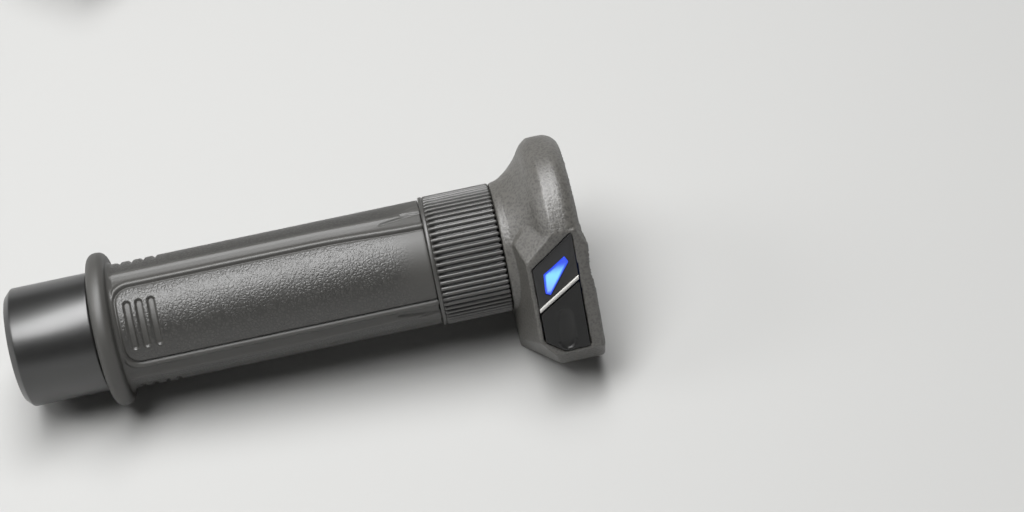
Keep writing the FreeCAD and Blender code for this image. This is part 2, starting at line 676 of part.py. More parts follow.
def cable_gland(gland):
    """Rubber gland in a collar's cover, with a lip each side of the plate."""
    centre = boss_centre(gland)
    lip = GLAND_RADIUS + GLAND_LIP
    body = rod(COVER_IN - GLAND_LIP_THICKNESS, COVER_OUT + GLAND_LIP_THICKNESS, GLAND_RADIUS, centre)
    inner = rod(COVER_IN - GLAND_LIP_THICKNESS, COVER_IN, lip, centre)
    outer = rod(COVER_OUT, COVER_OUT + GLAND_LIP_THICKNESS, lip, centre)
    bore = rod(COVER_IN - COLLAR_WALL, COLLAR_END + COLLAR_WALL, GLAND_BORE, centre)
    return body.fuse([inner, outer]).cut(bore)


def panel_fascia():
    """Glossy plate in the upper part of the panel, with the window's hole and the strip's bed."""
    plate = prism(fascia_outline(), -FASCIA_THICKNESS, 0, -PANEL_GAP)
    window = prism(WINDOW_OUTLINE, -FASCIA_THICKNESS, 0, WINDOW_GAP)
    bed = prism(strip_outline(0), -STRIP_BED, 0)
    return on_panel(plate.cut([window, bed]))


def panel_strip():
    """Silver strip that lies in its bed at the fascia's lower edge."""
    return on_panel(prism(strip_outline(PANEL_GAP), -STRIP_BED, STRIP_PROUD))


def light_window():
    """Clear window through the fascia, with a flange behind the collar's wall."""
    stem = prism(WINDOW_OUTLINE, -WINDOW_DEPTH, 0)
    flange = prism(WINDOW_OUTLINE, -COLLAR_WALL - WINDOW_FLANGE_THICKNESS, -COLLAR_WALL, WINDOW_FLANGE)
    return on_panel(stem.fuse(flange))


def status_lamp():
    """Small lamp on the board, just behind the window."""
    body = block(LAMP_CENTRE, LAMP_SIZE[:2], BOARD_TOP_W, BOARD_TOP_W + LAMP_SIZE[2])
    return on_panel(body)


def push_button():
    """Button cap with an oval dimple, a flange behind the wall and a post to the switch."""
    cap = prism(button_outline(), -COLLAR_WALL - BUTTON_FLANGE_GAP - BUTTON_FLANGE_THICKNESS,
                BUTTON_PROUD, -BUTTON_GAP)
    scoop = (DIMPLE_HALF_WIDTH ** 2 + DIMPLE_DEPTH ** 2) / (2 * DIMPLE_DEPTH)
    reach = DIMPLE_HALF_LENGTH - DIMPLE_HALF_WIDTH
    u, v = BUTTON_CENTRE
    level = BUTTON_PROUD + scoop - DIMPLE_DEPTH
    dimple = Part.makeCylinder(scoop, 2 * reach, Vector(u, v - reach, level), Vector(0, 1, 0))
    for end in (-reach, reach):
        dimple = dimple.fuse(Part.makeSphere(scoop, Vector(u, v + end, level)))
    left, right = PANEL_LEFT + BUTTON_GAP, PANEL_LEFT + PANEL_WIDTH - BUTTON_GAP
    top = button_outline()[0][1] - BUTTON_GAP
    bottom = PANEL_BOTTOM + BUTTON_GAP - BUTTON_FLANGE
    flange_low = -COLLAR_WALL - BUTTON_FLANGE_GAP - BUTTON_FLANGE_THICKNESS
    flange = Part.makeBox(right - left - PANEL_BOTTOM_CORNER, top - bottom, BUTTON_FLANGE_THICKNESS,
                          Vector(left + PANEL_BOTTOM_CORNER, bottom, flange_low))
    post_low = BOARD_TOP_W + SWITCH_HEIGHT + PLUNGER_PROUD
    post = Part.makeCylinder(BUTTON_POST_RADIUS, flange_low - post_low, Vector(u, v, post_low))
    return on_panel(cap.cut(dimple).fuse([flange, post]))


def tact_switch():
    """Switch body on the board, with the plunger's hole."""
    top = BOARD_TOP_W + SWITCH_HEIGHT
    body = block(BUTTON_CENTRE, (SWITCH_SIZE, SWITCH_SIZE), BOARD_TOP_W, top)
    depth = PLUNGER_SUNK + BUTTON_TRAVEL + PLUNGER_ROOM
    hole = Part.makeCylinder(PLUNGER_RADIUS + PLUNGER_GAP, depth,
                             Vector(BUTTON_CENTRE[0], BUTTON_CENTRE[1], top - depth))
    return on_panel(body.cut(hole))


def switch_plunger():
    """Plunger that the button's post pushes into the switch."""
    low = BOARD_TOP_W + SWITCH_HEIGHT - PLUNGER_SUNK
    return on_panel(Part.makeCylinder(PLUNGER_RADIUS, PLUNGER_SUNK + PLUNGER_PROUD,
                                      Vector(BUTTON_CENTRE[0], BUTTON_CENTRE[1], low)))


def board_right():
    return COVER_IN - BOARD_MARGIN - COLLAR_START


def circuit_board():
    """Board behind the panel, screwed to two posts and tucked under a ledge."""
    corner_u, corner_v = BOARD_CORNER
    outline = [(BOARD_LEFT, BOARD_TOP - corner_v), (BOARD_LEFT, BOARD_BOTTOM),
               (board_right(), BOARD_BOTTOM), (board_right(), BOARD_TOP),
               (BOARD_LEFT + corner_u, BOARD_TOP)]
    board = prism(outline, BOARD_BACK_W, BOARD_TOP_W)
    holes = [Part.makeCylinder(BOARD_SCREW_RADIUS + SCREW_GAP, BOARD_THICKNESS,
                               Vector(u, v, BOARD_BACK_W)) for u, v in BOARD_POSTS]
    return on_panel(board.cut(holes))


def board_screws():
    """Screws that hold the board to its posts, heads behind it."""
    screws = []
    for u, v in BOARD_POSTS:
        head = Part.makeCylinder(BOARD_SCREW_HEAD_RADIUS, BOARD_SCREW_HEAD_HEIGHT,
                                 Vector(u, v, BOARD_BACK_W - BOARD_SCREW_HEAD_HEIGHT))
        shank = Part.makeCylinder(BOARD_SCREW_RADIUS, BOARD_SCREW_LENGTH, Vector(u, v, BOARD_BACK_W))
        screws.append(on_panel(head.fuse(shank)))
    return Part.makeCompound(screws)


def cable_socket():
    """Plug-in socket for the supply cable, on the board's back."""
    low = BOARD_BACK_W - SOCKET_SIZE[2]
    body = block(SOCKET_CENTRE, SOCKET_SIZE[:2], low, BOARD_BACK_W)
    wall = SOCKET_WALL
    mouth = Part.makeBox(SOCKET_SIZE[0], SOCKET_SIZE[1] - 2 * wall, SOCKET_SIZE[2] - 2 * wall,
                         Vector(SOCKET_CENTRE[0] - SOCKET_SIZE[0] / 2 + wall,
                                SOCKET_CENTRE[1] - SOCKET_SIZE[1] / 2 + wall, low + wall))
    return on_panel(body.cut(mouth))


def heater_leads(lead_rise, end_distance):
    """Two leads from the track's end along the sleeve's groove, then straight outwards."""
    level = SLEEVE_R - LEAD_RADIUS - LAYER_GAP
    x0 = FILM_END - TRACK_MARGIN - LEAD_START_MARGIN + LEAD_RADIUS
    x1 = COLLAR_START + lead_rise
    leads = []
    for side in (-1, 1):
        v = side * LEAD_SPACING / 2
        start, turn = Vector(x0, v, level), Vector(x1 - LEAD_BEND, v, level)
        middle = turn + Vector(LEAD_BEND * math.sin(math.radians(45)), 0,
                               LEAD_BEND * (1 - math.cos(math.radians(45))))
        rise = Vector(x1, v, level + LEAD_BEND)
        end = Vector(x1, v, end_distance - LEAD_END_GAP)
        path = Part.Wire([Part.makeLine(start, turn), Part.Arc(turn, middle, rise).toShape(),
                          Part.makeLine(rise, end)])
        section = Part.Wire(Part.makeCircle(LEAD_RADIUS, start, AXIS))
        leads.append(placed(path.makePipeShell([section], True, False), facing(PANEL_ELEVATION, 0)))
    return Part.makeCompound(leads)


def bar_end_weight():
    """Turned weight outboard of the grip, with a spigot for the bar and a sunk bolt hole."""
    x0, x1 = -WEIGHT_GAP - WEIGHT_LENGTH, -WEIGHT_GAP
    body = turned([(x0, 0), (x0, WEIGHT_RADIUS - WEIGHT_CHAMFER), (x0 + WEIGHT_CHAMFER, WEIGHT_RADIUS),
                   (x1 - WEIGHT_GAP, WEIGHT_RADIUS), (x1, WEIGHT_RADIUS - WEIGHT_GAP),
                   (x1, SPIGOT_RADIUS), (SPIGOT_LENGTH - WEIGHT_GAP, SPIGOT_RADIUS),
                   (SPIGOT_LENGTH, SPIGOT_RADIUS - WEIGHT_GAP), (SPIGOT_LENGTH, 0)])
    hole = rod(x0, SPIGOT_LENGTH, BOLT_RADIUS + BOLT_GAP)
    sink = rod(x0, x0 + BOLT_HEAD_SUNK + BOLT_HEAD_HEIGHT, BOLT_HEAD_RADIUS + BOLT_GAP)
    return body.cut([hole, sink])


def bar_end_bolt():
    """Socket-head bolt that draws the weight against the bar's end."""
    seat = -WEIGHT_GAP - WEIGHT_LENGTH + BOLT_HEAD_SUNK + BOLT_HEAD_HEIGHT
    head = rod(seat - BOLT_HEAD_HEIGHT, seat, BOLT_HEAD_RADIUS)
    shank = rod(seat, BOLT_REACH, BOLT_RADIUS)
    corner = SOCKET_FLATS / math.sqrt(3)
    hexagon = [Vector(0, corner * math.cos(math.radians(60 * i)), corner * math.sin(math.radians(60 * i)))
               for i in range(6)]
    face = Part.Face(Part.makePolygon(hexagon + hexagon[:1]))
    face.translate(AXIS * (seat - BOLT_HEAD_HEIGHT))
    return head.fuse(shank).cut(face.extrude(AXIS * SOCKET_DEPTH))


def throttle_tube():
    """Turning tube under the right grip, with its cable drum inboard of the collar."""
    tube_part = sleeve(THROTTLE_BORE_R, DRUM_END, RIGHT_LEAD_RISE)
    drum = tube(DRUM_START, DRUM_END, DRUM_RADIUS, SLEEVE_R - SLEEVE_WALL / 2)
    middle = (DRUM_START + DRUM_END) / 2
    groove = tube(middle - DRUM_GROOVE_WIDTH / 2, middle + DRUM_GROOVE_WIDTH / 2,
                  DRUM_RADIUS + DRUM_GAP, DRUM_RADIUS - DRUM_GROOVE_DEPTH)
    centre = outward(NIPPLE_ELEVATION) * (DRUM_RADIUS - NIPPLE_INSET)
    nipple = rod(middle + DRUM_GROOVE_WIDTH / 2, DRUM_END, NIPPLE_RADIUS, centre)
    return tube_part.fuse(drum.cut([groove, nipple]))


def terminal_base():
    return SLEEVE_R + TERMINAL_LIFT


def terminal_block():
    """Block that joins the heater leads to the supply cable in the right collar."""
    centre = (COLLAR_START + TERMINAL_POSITION, 0)
    body = block(centre, TERMINAL_SIZE[:2], 0, TERMINAL_SIZE[2])
    mouth = Part.makeBox(TERMINAL_SIZE[0] / 2, TERMINAL_SIZE[1] - 2 * SOCKET_WALL,
                         TERMINAL_SIZE[2] - 2 * SOCKET_WALL,
                         Vector(centre[0], SOCKET_WALL - TERMINAL_SIZE[1] / 2, SOCKET_WALL))
    return placed(body.cut(mouth), facing(PANEL_ELEVATION, terminal_base()))


def right_collar_shell():
    outer = flare(0, COLLAR_START, COLLAR_END, RIM_ROUND)
    centre = (COLLAR_START + TERMINAL_POSITION, 0)
    pedestal = block(centre, TERMINAL_SIZE[:2], TERMINAL_SIZE[2], RIM_R)
    return collar_shell(outer, flare_room(), RIGHT_BOSSES,
                        [placed(pedestal, facing(PANEL_ELEVATION, terminal_base()))])


def right_collar_cover():
    plate = rod(COVER_IN, COVER_OUT, MOUTH_R - COVER_GAP)
    return collar_cover(plate, RIGHT_BOSSES, RIGHT_GLAND)


def thermistor():
    return sensor_block(0.0)


LEFT_NODES = {
    "bar_end_weight": bar_end_weight,
    "bar_end_bolt": bar_end_bolt,
    "core_sleeve": lambda: sleeve(BORE_R, COVER_OUT, LEFT_LEAD_RISE),
    "heater_film": heater_film,
    "heater_track": heater_track,
    "thermistor": thermistor,
    "grip_rubber": grip_rubber,
    "ribbed_band": ribbed_band,
    "heater_leads": lambda: heater_leads(LEFT_LEAD_RISE, PANEL_DISTANCE + BOARD_BACK_W),
    "collar_shell": left_collar_shell,
    "collar_cover": left_collar_cover,
    "cover_screws": lambda: cover_screws(LEFT_BOSSES),
    "cable_gland": lambda: cable_gland(LEFT_GLAND),
    "panel_fascia": panel_fascia,
    "panel_strip": panel_strip,
    "light_window": light_window,
    "status_lamp": status_lamp,
    "push_button": push_button,
    "switch_plunger": switch_plunger,
    "tact_switch": tact_switch,
    "circuit_board": circuit_board,
    "board_screws": board_screws,
    "cable_socket": cable_socket,
}
RIGHT_NODES = {
    "bar_end_weight": bar_end_weight,
    "bar_end_bolt": bar_end_bolt,
    "throttle_tube": throttle_tube,
    "heater_film": heater_film,
    "heater_track": heater_track,
    "thermistor": thermistor,
    "grip_rubber": grip_rubber,
    "ribbed_band": ribbed_band,
    "heater_leads": lambda: heater_leads(RIGHT_LEAD_RISE, terminal_base()),
    "collar_shell": right_collar_shell,
    "collar_cover": right_collar_cover,
    "cover_screws": lambda: cover_screws(RIGHT_BOSSES),
    "cable_gland": lambda: cable_gland(RIGHT_GLAND),
    "terminal_block": terminal_block,
}


def laid_down():
    """Placement of the left grip on the surface, its axis rising towards the collar."""
    lift = floor_point().dot(DOWN)
    return Placement(Vector(0, 0, lift), Rotation(Vector(0, -1, 0), math.degrees(TILT)))


def build():
    """Every node's shape, laid out as a pair about the middle of the box that they fill."""
    left = laid_down()
    opposite = Placement(Vector(COLLAR_END, PAIR_SPACING, 0), Rotation(Vector(0, 0, 1), 180))
    right = opposite.multiply(left)
    nodes = {}
    for side, placement, makers in (("left", left, LEFT_NODES), ("right", right, RIGHT_NODES)):
        for name, make in makers.items():
            nodes[side + "_" + name] = placed(make(), placement)
    extent = Part.makeCompound(list(nodes.values())).optimalBoundingBox()
    shift = Vector(-extent.Center.x, -extent.Center.y, 0)
    for shape in nodes.values():
        shape.translate(shift)
    frames = {"left": left, "right": right}
    for side, placement in frames.items():
        placement.Base = placement.Base + shift
        print(side, "frame origin", tuple(placement.Base), "axis", tuple(placement.Rotation.multVec(AXIS)))
    pressed = left.Rotation.multVec(-outward(PANEL_ELEVATION))
    print("button travel direction", tuple(pressed), "tilt", math.degrees(TILT))
    return nodes


def main():
    os.makedirs("parts", exist_ok=True)
    for name, shape in build().items():
        print(name, "solids", len(shape.Solids), "valid", shape.isValid(), "mm3", round(shape.Volume, 1))
        shape.exportStep(os.path.join("parts", name + ".step"))


main()
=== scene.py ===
"""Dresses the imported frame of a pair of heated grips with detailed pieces, finishes and a studio.

Lengths are metres. Each grip has its own frame: X along the bar from the grip's outboard face, -Y
towards the rider and Z up. Pieces are modelled there and then laid into the row frame. An elevation
is an angle round the bar, in degrees above the rider's side.
"""
import json
import math

import bpy
import numpy as np
from bpy.props import FloatProperty, FloatVectorProperty, IntProperty, PointerProperty
from mathutils import Matrix, Vector

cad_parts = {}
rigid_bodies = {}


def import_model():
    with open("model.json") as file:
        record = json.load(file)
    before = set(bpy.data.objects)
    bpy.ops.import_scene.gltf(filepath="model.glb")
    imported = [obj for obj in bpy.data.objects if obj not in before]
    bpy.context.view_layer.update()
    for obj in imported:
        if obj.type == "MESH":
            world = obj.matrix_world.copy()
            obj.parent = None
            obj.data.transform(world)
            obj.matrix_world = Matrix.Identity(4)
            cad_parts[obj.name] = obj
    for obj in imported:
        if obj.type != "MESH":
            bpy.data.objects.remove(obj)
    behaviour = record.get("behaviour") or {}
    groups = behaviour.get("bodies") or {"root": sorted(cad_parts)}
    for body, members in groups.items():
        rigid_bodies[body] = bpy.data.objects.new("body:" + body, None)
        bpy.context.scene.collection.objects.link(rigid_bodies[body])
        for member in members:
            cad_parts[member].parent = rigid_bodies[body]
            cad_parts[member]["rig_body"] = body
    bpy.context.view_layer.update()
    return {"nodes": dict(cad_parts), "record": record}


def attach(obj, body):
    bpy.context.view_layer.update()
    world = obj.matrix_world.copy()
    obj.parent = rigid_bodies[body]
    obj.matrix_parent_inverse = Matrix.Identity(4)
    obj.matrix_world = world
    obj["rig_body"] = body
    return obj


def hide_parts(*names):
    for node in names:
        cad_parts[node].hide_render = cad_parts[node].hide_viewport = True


bl_info = {
    "name": "Heated Grips",
    "version": (1, 0, 0),
    "blender": (4, 5, 0),
    "location": "View3D > Sidebar > Heated Grips",
    "description": "Dresses the frame of a pair of heated grips with detailed pieces and finishes",
    "category": "Object",
}

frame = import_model()

MM = 0.001
SIDES = ("left", "right")
MERGE = 0.002 * MM
BORE_START = 24.0 * MM
COLLAR_START = 109.0 * MM
PANEL_ELEVATION = math.radians(25.3)
GRIP_MIDDLE = Vector((65.0 * MM, 0, 0))


def grip_frame(side):
    """Matrix of a grip's own frame, from the mount of its bar bore."""
    mount = next(m for m in frame["record"]["mounts"] if m["name"] == side + "_bar_bore")
    along = Vector(mount["axis"]).normalized()
    middle = BORE_START + mount["dims"]["length_mm"] * MM / 2
    up = (Vector((0, 0, 1)) - along * along.z).normalized()
    matrix = Matrix((along, up.cross(along), up)).transposed().to_4x4()
    matrix.translation = Vector(mount["pos_m"]) - along * middle
    return matrix


GRIPS = {side: grip_frame(side) for side in SIDES}


def length(name, value, description):
    return FloatProperty(name=name, default=value * MM, unit="LENGTH", precision=5,
                         description=description)


def angle(name, value, description):
    return FloatProperty(name=name, default=math.radians(value), unit="ROTATION",
                         description=description)


def colour(name, value, description):
    return FloatVectorProperty(name=name, default=value, size=3, subtype="COLOR", min=0, max=1,
                               description=description)


class RubberSizes(bpy.types.PropertyGroup):
    """Sizes of the rubber grips."""
    radius: length("Radius", 16.9, "Radius over the rubber")
    length: length("Length", 89.55, "Length from the outboard face to the band")
    flange_radius: length("Flange radius", 20.8, "Radius over the outboard flange")
    flange_thickness: length("Flange thickness", 5.0, "Thickness of the outboard flange")
    flange_round: length("Flange rounding", 2.2, "Rounding of the flange's rims")
    root_round: length("Root rounding", 1.2, "Rounding where the flange meets the grip")
    pad_elevation: angle("Pad elevation", 49.2, "Elevation of the palm pad's middle")
    pad_start: length("Pad start", 6.4, "Place of the pad's groove at its outboard end")
    pad_half_width: length("Pad half width", 10.8, "Half the pad's width, round to its groove")
    pad_narrowing: length("Pad narrowing", 1.2, "What the pad loses at its edges towards the band")
    pad_corner: length("Pad corner", 4.4, "Corner radius of the pad")
    pad_crown: length("Pad crown", 0.12, "Height of the pad over its rounded edge")
    groove_depth: length("Groove depth", 0.65, "Depth of the groove round the pad")
    lip_height: length("Lip height", 0.42, "Height of the lip that follows the groove")
    channel_depth: length("Channel depth", 0.5, "Depth of the channels beside the pad")
    ridge_place: length("Ridge place", 16.2, "Distance round from the pad's middle to the outer ridge")
    ridge_height: length("Ridge height", 0.26, "Height of the ridge outside each channel")
    slots: IntProperty(name="Slots", default=3, min=0, description="Number of recessed slots")
    slot_start: length("First slot", 9.6, "Place of the first recessed slot")
    slot_pitch: length("Slot pitch", 3.2, "Distance between the slots")
    slot_depth: length("Slot depth", 0.65, "Depth of the slots")
    fingers: IntProperty(name="Finger grooves", default=4, min=0, description="Number of finger grooves")
    finger_start: length("First finger groove", 8.2, "Place of the first finger groove")
    finger_pitch: length("Finger pitch", 3.2, "Distance between the finger grooves")
    finger_depth: length("Finger depth", 0.6, "Depth of the finger grooves")
    steps: IntProperty(name="Steps", default=480, min=60, description="Faces round the grip")


class BandSizes(bpy.types.PropertyGroup):
    """Sizes of the ribbed bands."""
    start: length("Start", 89.65, "Place of the band's outboard face")
    length: length("Length", 19.2, "Length of the band")
    radius: length("Radius", 17.5, "Radius over the ribs")
    lip_width: length("Lip width", 1.1, "Width of the plain lip at the outboard end")
    rib_depth: length("Rib depth", 0.75, "Depth of the grooves between the ribs")
    ribs: IntProperty(name="Ribs", default=64, min=8, description="Number of ribs")
    rib_steps: IntProperty(name="Steps per rib", default=10, min=4, description="Faces round each rib")


class ShellSizes(bpy.types.PropertyGroup):
    """How the moulded pieces are rounded."""
    collar_grid: length("Collar grid", 0.36, "Size of the grid that rounds the collars")
    collar_passes: IntProperty(name="Collar passes", default=7, min=0, description="Smoothing of the collars")
    collar_detail: FloatProperty(name="Collar detail", default=0.55, min=0.1, max=1,
                                 description="Share of the collars' faces that is kept")
    button_grid: length("Button grid", 0.14, "Size of the grid that rounds the button")
    button_passes: IntProperty(name="Button passes", default=5, min=0, description="Smoothing of the button")
    dimple_lip: length("Dimple lip", 0.18, "Height of the lip at the dimple's lower end")


class FinishColours(bpy.types.PropertyGroup):
    """Colours of the finishes."""
    rubber: colour("Rubber", (0.05, 0.0485, 0.044), "Grip rubber")
    band: colour("Band", (0.048, 0.0465, 0.0425), "Rubber of the ribbed bands")
    collar: colour("Collar", (0.076, 0.0727, 0.0655), "Grained skin of the collars")
    bar_end: colour("Bar end", (0.012, 0.012, 0.0115), "Satin black metal of the bar end weights")
    bolt: colour("Bolt", (0.03, 0.03, 0.031), "Black oxide of the bolts")
    panel: colour("Panel", (0.005, 0.005, 0.0055), "Gloss black of the panel")
    button: colour("Button", (0.006, 0.006, 0.0058), "Black of the push button")
    strip: colour("Strip", (0.74, 0.73, 0.7), "Satin silver of the strip")
    window_deep: colour("Window, deep", (0.03, 0.07, 0.8), "Deep blue at the window's upper end and rim")
    window_light: colour("Window, light", (0.26, 0.74, 0.97), "Pale cyan at the window's middle")
    window_low: colour("Window, low", (0.24, 0.45, 0.9), "Pale blue at the window's lower end")
    window_body: colour("Window, body", (0.01, 0.03, 0.12), "Tint of the window's plastic")
    plastic: colour("Plastic", (0.03, 0.03, 0.032), "Moulded nylon of the hidden parts")
    tube: colour("Tube", (0.0345, 0.0345, 0.0368), "Moulded nylon of the throttle tube")
    gland: colour("Gland", (0.035, 0.034, 0.0308), "Rubber of the cable glands")
    steel: colour("Steel", (0.5, 0.5, 0.49), "Zinc-plated screws")
    board: colour("Board", (0.012, 0.09, 0.035), "Lacquer of the circuit board")
    copper: colour("Copper", (0.72, 0.33, 0.18), "Etched heating track")
    film: colour("Film", (0.55, 0.24, 0.04), "Amber carrier film")
    bead: colour("Bead", (0.08, 0.16, 0.3), "Glazed body of the temperature sensors")
    lead: colour("Lead", (0.35, 0.03, 0.025), "Insulation of the heater's leads")
    socket: colour("Socket", (0.62, 0.6, 0.54), "Cable socket and terminal block")
    lamp: colour("Lamp", (0.8, 0.82, 0.85), "Clear body of the status lamp")
    plunger: colour("Plunger", (0.5, 0.08, 0.05), "Plunger of the switch")
    switch: colour("Switch", (0.045, 0.045, 0.048), "Body of the switch")


class StageSizes(bpy.types.PropertyGroup):
    """Camera, lamps and floor."""
    camera_elevation: angle("Camera elevation", 50.0, "Elevation of the view")
    camera_yaw: angle("Camera yaw", 2.415, "Turn of the view about the vertical of the picture")
    camera_pitch: angle("Camera pitch", 0.144, "Tilt of the view")
    camera_roll: angle("Camera roll", 11.943, "Roll of the view")
    camera_across: length("Camera across", 85.0, "Place of the camera along the bar")
    camera_away: length("Camera distance", 628.98, "Distance of the camera from the bar")
    camera_rise: length("Camera rise", -1.55, "Place of the camera up the picture")
    lens: FloatProperty(name="Lens", default=82.02, description="Focal length in millimetres")
    box_across: length("Softbox across", 0.0, "Place of the softbox along the bar")
    box_elevation: angle("Softbox elevation", 95.5, "Elevation of the softbox")
    box_distance: length("Softbox distance", 900.0, "Distance of the softbox from the grip")
    box_width: length("Softbox width", 1100.0, "Width of the softbox along the bar")
    box_depth: length("Softbox depth", 380.0, "Depth of the softbox")
    box_power: FloatProperty(name="Softbox power", default=12.5, unit="POWER",
                             description="Power of the softbox")
    side_across: length("Side light across", -720.0, "Place of the side light along the bar")
    side_elevation: angle("Side light elevation", 100.0, "Elevation of the side light")
    side_distance: length("Side light distance", 620.0, "Distance of the side light from the bar")
    side_width: length("Side light width", 420.0, "Width and depth of the side light")
    side_power: FloatProperty(name="Side light power", default=2.0, unit="POWER",
                              description="Power of the side light")
    room: FloatProperty(name="Room light", default=0.07,
                        description="Brightness of the room round the object")
    backdrop: FloatProperty(name="Backdrop", default=0.79,
                            description="Brightness of the pale horizon and the floor's far end")
    bounce: FloatProperty(name="Floor bounce", default=0.16,
                          description="Brightness that the floor throws back on the object")
    floor: colour("Floor", (0.57, 0.57, 0.56), "Pale floor")


def rgba(base, factor=1.0):
    """Opaque colour for a socket, darkened or lightened by the factor."""
    return [c * factor for c in base] + [1]


class Value:
    """A shader socket that takes part in Python arithmetic; each step adds a Math node."""

    def __init__(self, nodes, socket):
        self.nodes = nodes
        self.socket = socket

    def math(self, operation, first, second):
        return self.nodes.node("ShaderNodeMath", {"operation": operation}, {0: first, 1: second})

    def __add__(self, other):
        return self.math("ADD", self, other)

    def __radd__(self, other):
        return self.math("ADD", other, self)

    def __sub__(self, other):
        return self.math("SUBTRACT", self, other)

    def __rsub__(self, other):
        return self.math("SUBTRACT", other, self)

    def __mul__(self, other):
        return self.math("MULTIPLY", self, other)

    def __rmul__(self, other):
        return self.math("MULTIPLY", other, self)


class Nodes:
    """A node tree that is built from Python expressions."""

    def __init__(self, tree):
        self.tree = tree
        self.place = self.node("ShaderNodeTexCoord", {}, {}, "Object")

    def node(self, kind, settings, inputs, output=0):
        """Adds a node with its settings, then the values or links of its inputs."""
        node = self.tree.nodes.new(kind)
        for name, value in settings.items():
            setattr(node, name, value)
        for name, value in inputs.items():
            if isinstance(value, Value):
                self.tree.links.new(value.socket, node.inputs[name])
            else:
                node.inputs[name].default_value = value
        return Value(self, node.outputs[output])

    def join(self, value, node, socket):
        """Links a value to a socket of a node that stands in the tree already."""
        self.tree.links.new(value.socket, self.tree.nodes[node].inputs[socket])

    def step(self, value, low, high):
        """0 below low and 1 above high, smooth between."""
        return self.node("ShaderNodeMapRange", {"interpolation_type": "SMOOTHSTEP"},
                         {"Value": value, "From Min": low, "From Max": high}, "Result")


class Finish(Nodes):
    """A procedural material on one Principled shader, patterned by Object coordinates."""

    def __init__(self, name, constants):
        self.material = bpy.data.materials.new(name)
        self.material.use_nodes = True
        super().__init__(self.material.node_tree)
        self.shader = self.tree.nodes["Principled BSDF"]
        for socket, value in constants.items():
            self.shader.inputs[socket].default_value = value

    def noise(self, size, detail=3.0, roughness=0.55):
        """Soft noise from 0 to 1 with features of that size."""
        return self.node("ShaderNodeTexNoise", {"noise_dimensions": "3D"},
                         {"Vector": self.place, "Scale": 1 / size, "Detail": detail,
                          "Roughness": roughness}, "Fac")

    def cells(self, size, feature="F1"):
        """Distance within cells of that size, from 0 in the middle of each."""
        return self.node("ShaderNodeTexVoronoi", {"feature": feature},
                         {"Vector": self.place, "Scale": 1 / size}, "Distance")

    def stretched(self, scale):
        """Object coordinates stretched along each axis, for brushed marks."""
        return self.node("ShaderNodeVectorMath", {"operation": "MULTIPLY"}, {0: self.place, 1: scale})

    def layer(self, name):
        """A value that the piece carries on its points."""
        return self.node("ShaderNodeAttribute", {"attribute_name": name}, {}, "Fac")

    def blend(self, factor, first, second):
        """Colour from first to second."""
        return self.node("ShaderNodeMix", {"data_type": "RGBA"}, {0: factor, 6: first, 7: second}, 2)

    def shades(self, factor, base, low, high):
        """The base colour, darkened to low and lightened to high by the factor."""
        return self.blend(factor, rgba(base, low), rgba(base, high))

    def feed(self, socket, value):
        self.join(value, "Principled BSDF", socket)

    def relief(self, height, depth):
        """Bump of that depth in metres, from a height of 0 to 1."""
        self.feed("Normal", self.node("ShaderNodeBump", {}, {"Height": height, "Distance": depth,
                                                            "Strength": 1.0}, "Normal"))


def pebbled(finish, size):
    """Height of a pebbled grain, from 0 between the pebbles to 1 on them."""
    wobble = finish.node("ShaderNodeTexNoise", {}, {"Vector": finish.place, "Scale": 0.7 / size,
                                                   "Detail": 2.0}, "Color")
    shift = finish.node("ShaderNodeVectorMath", {"operation": "SCALE"}, {0: wobble, "Scale": size * 0.8})
    place = finish.node("ShaderNodeVectorMath", {"operation": "ADD"}, {0: finish.place, 1: shift})
    gap = finish.node("ShaderNodeTexVoronoi", {"feature": "DISTANCE_TO_EDGE"},
                      {"Vector": place, "Scale": 1 / size}, "Distance")
    return finish.step(gap, 0.0, 0.32)


def rubber_finish(colours):
    """Grip rubber: pebbled where grained, with painted shade between the pebbles; smooth elsewhere; lip and
    ridge crests worn glossier and painted lighter as a highlight.
    """
    finish = Finish("grip_rubber", {"Specular IOR Level": 0.9, "IOR": 1.54})
    grain = finish.layer("grain")
    polish_and_highlight = finish.layer("polish_and_highlight")
    patches = finish.noise(1.7 * MM, 3.0, 0.6)
    pebbles = pebbled(finish, 0.95 * MM) * (0.55 + 0.9 * patches)
    fine = finish.noise(0.25 * MM, 2.0)
    dust = finish.noise(14 * MM, 5.0, 0.6)
    tone = finish.shades(dust, colours.rubber, 0.86, 1.16)
    # Painted shade: the base colour is darkened between the pebbles of the grain.
    tone = finish.blend(grain * (1 - pebbles) * 0.6, tone, rgba(colours.rubber, 0.3))
    # Lip and ridge crests: lighter as a painted highlight, and a little glossier as worn rubber.
    finish.feed("Base Color", finish.blend(polish_and_highlight * 0.4, tone, rgba(colours.rubber, 1.4)))
    finish.feed("Roughness", 0.47 + 0.06 * dust - 0.1 * grain - 0.03 * polish_and_highlight + 0.05 * fine)
    finish.relief(grain * pebbles + 0.15 * fine, 0.045 * MM)
    return finish.material


def band_finish(colours):
    """Band rubber: smooth ribs with a matt moulded surface, and painted shade in the grooves between them."""
    finish = Finish("band_rubber", {"Specular IOR Level": 1.0, "IOR": 1.54})
    fine = finish.noise(0.25 * MM, 2.0)
    dust = finish.noise(9 * MM, 4.0)
    low = finish.layer("low")
    tone = finish.shades(dust, colours.band, 0.88, 1.14)
    # Painted shade: the grooves between the ribs are darkened.
    finish.feed("Base Color", finish.blend(low * 0.95, tone, rgba(colours.band, 0.12)))
    finish.feed("Roughness", 0.38 + 0.1 * dust)
    finish.relief(fine, 0.012 * MM)
    return finish.material


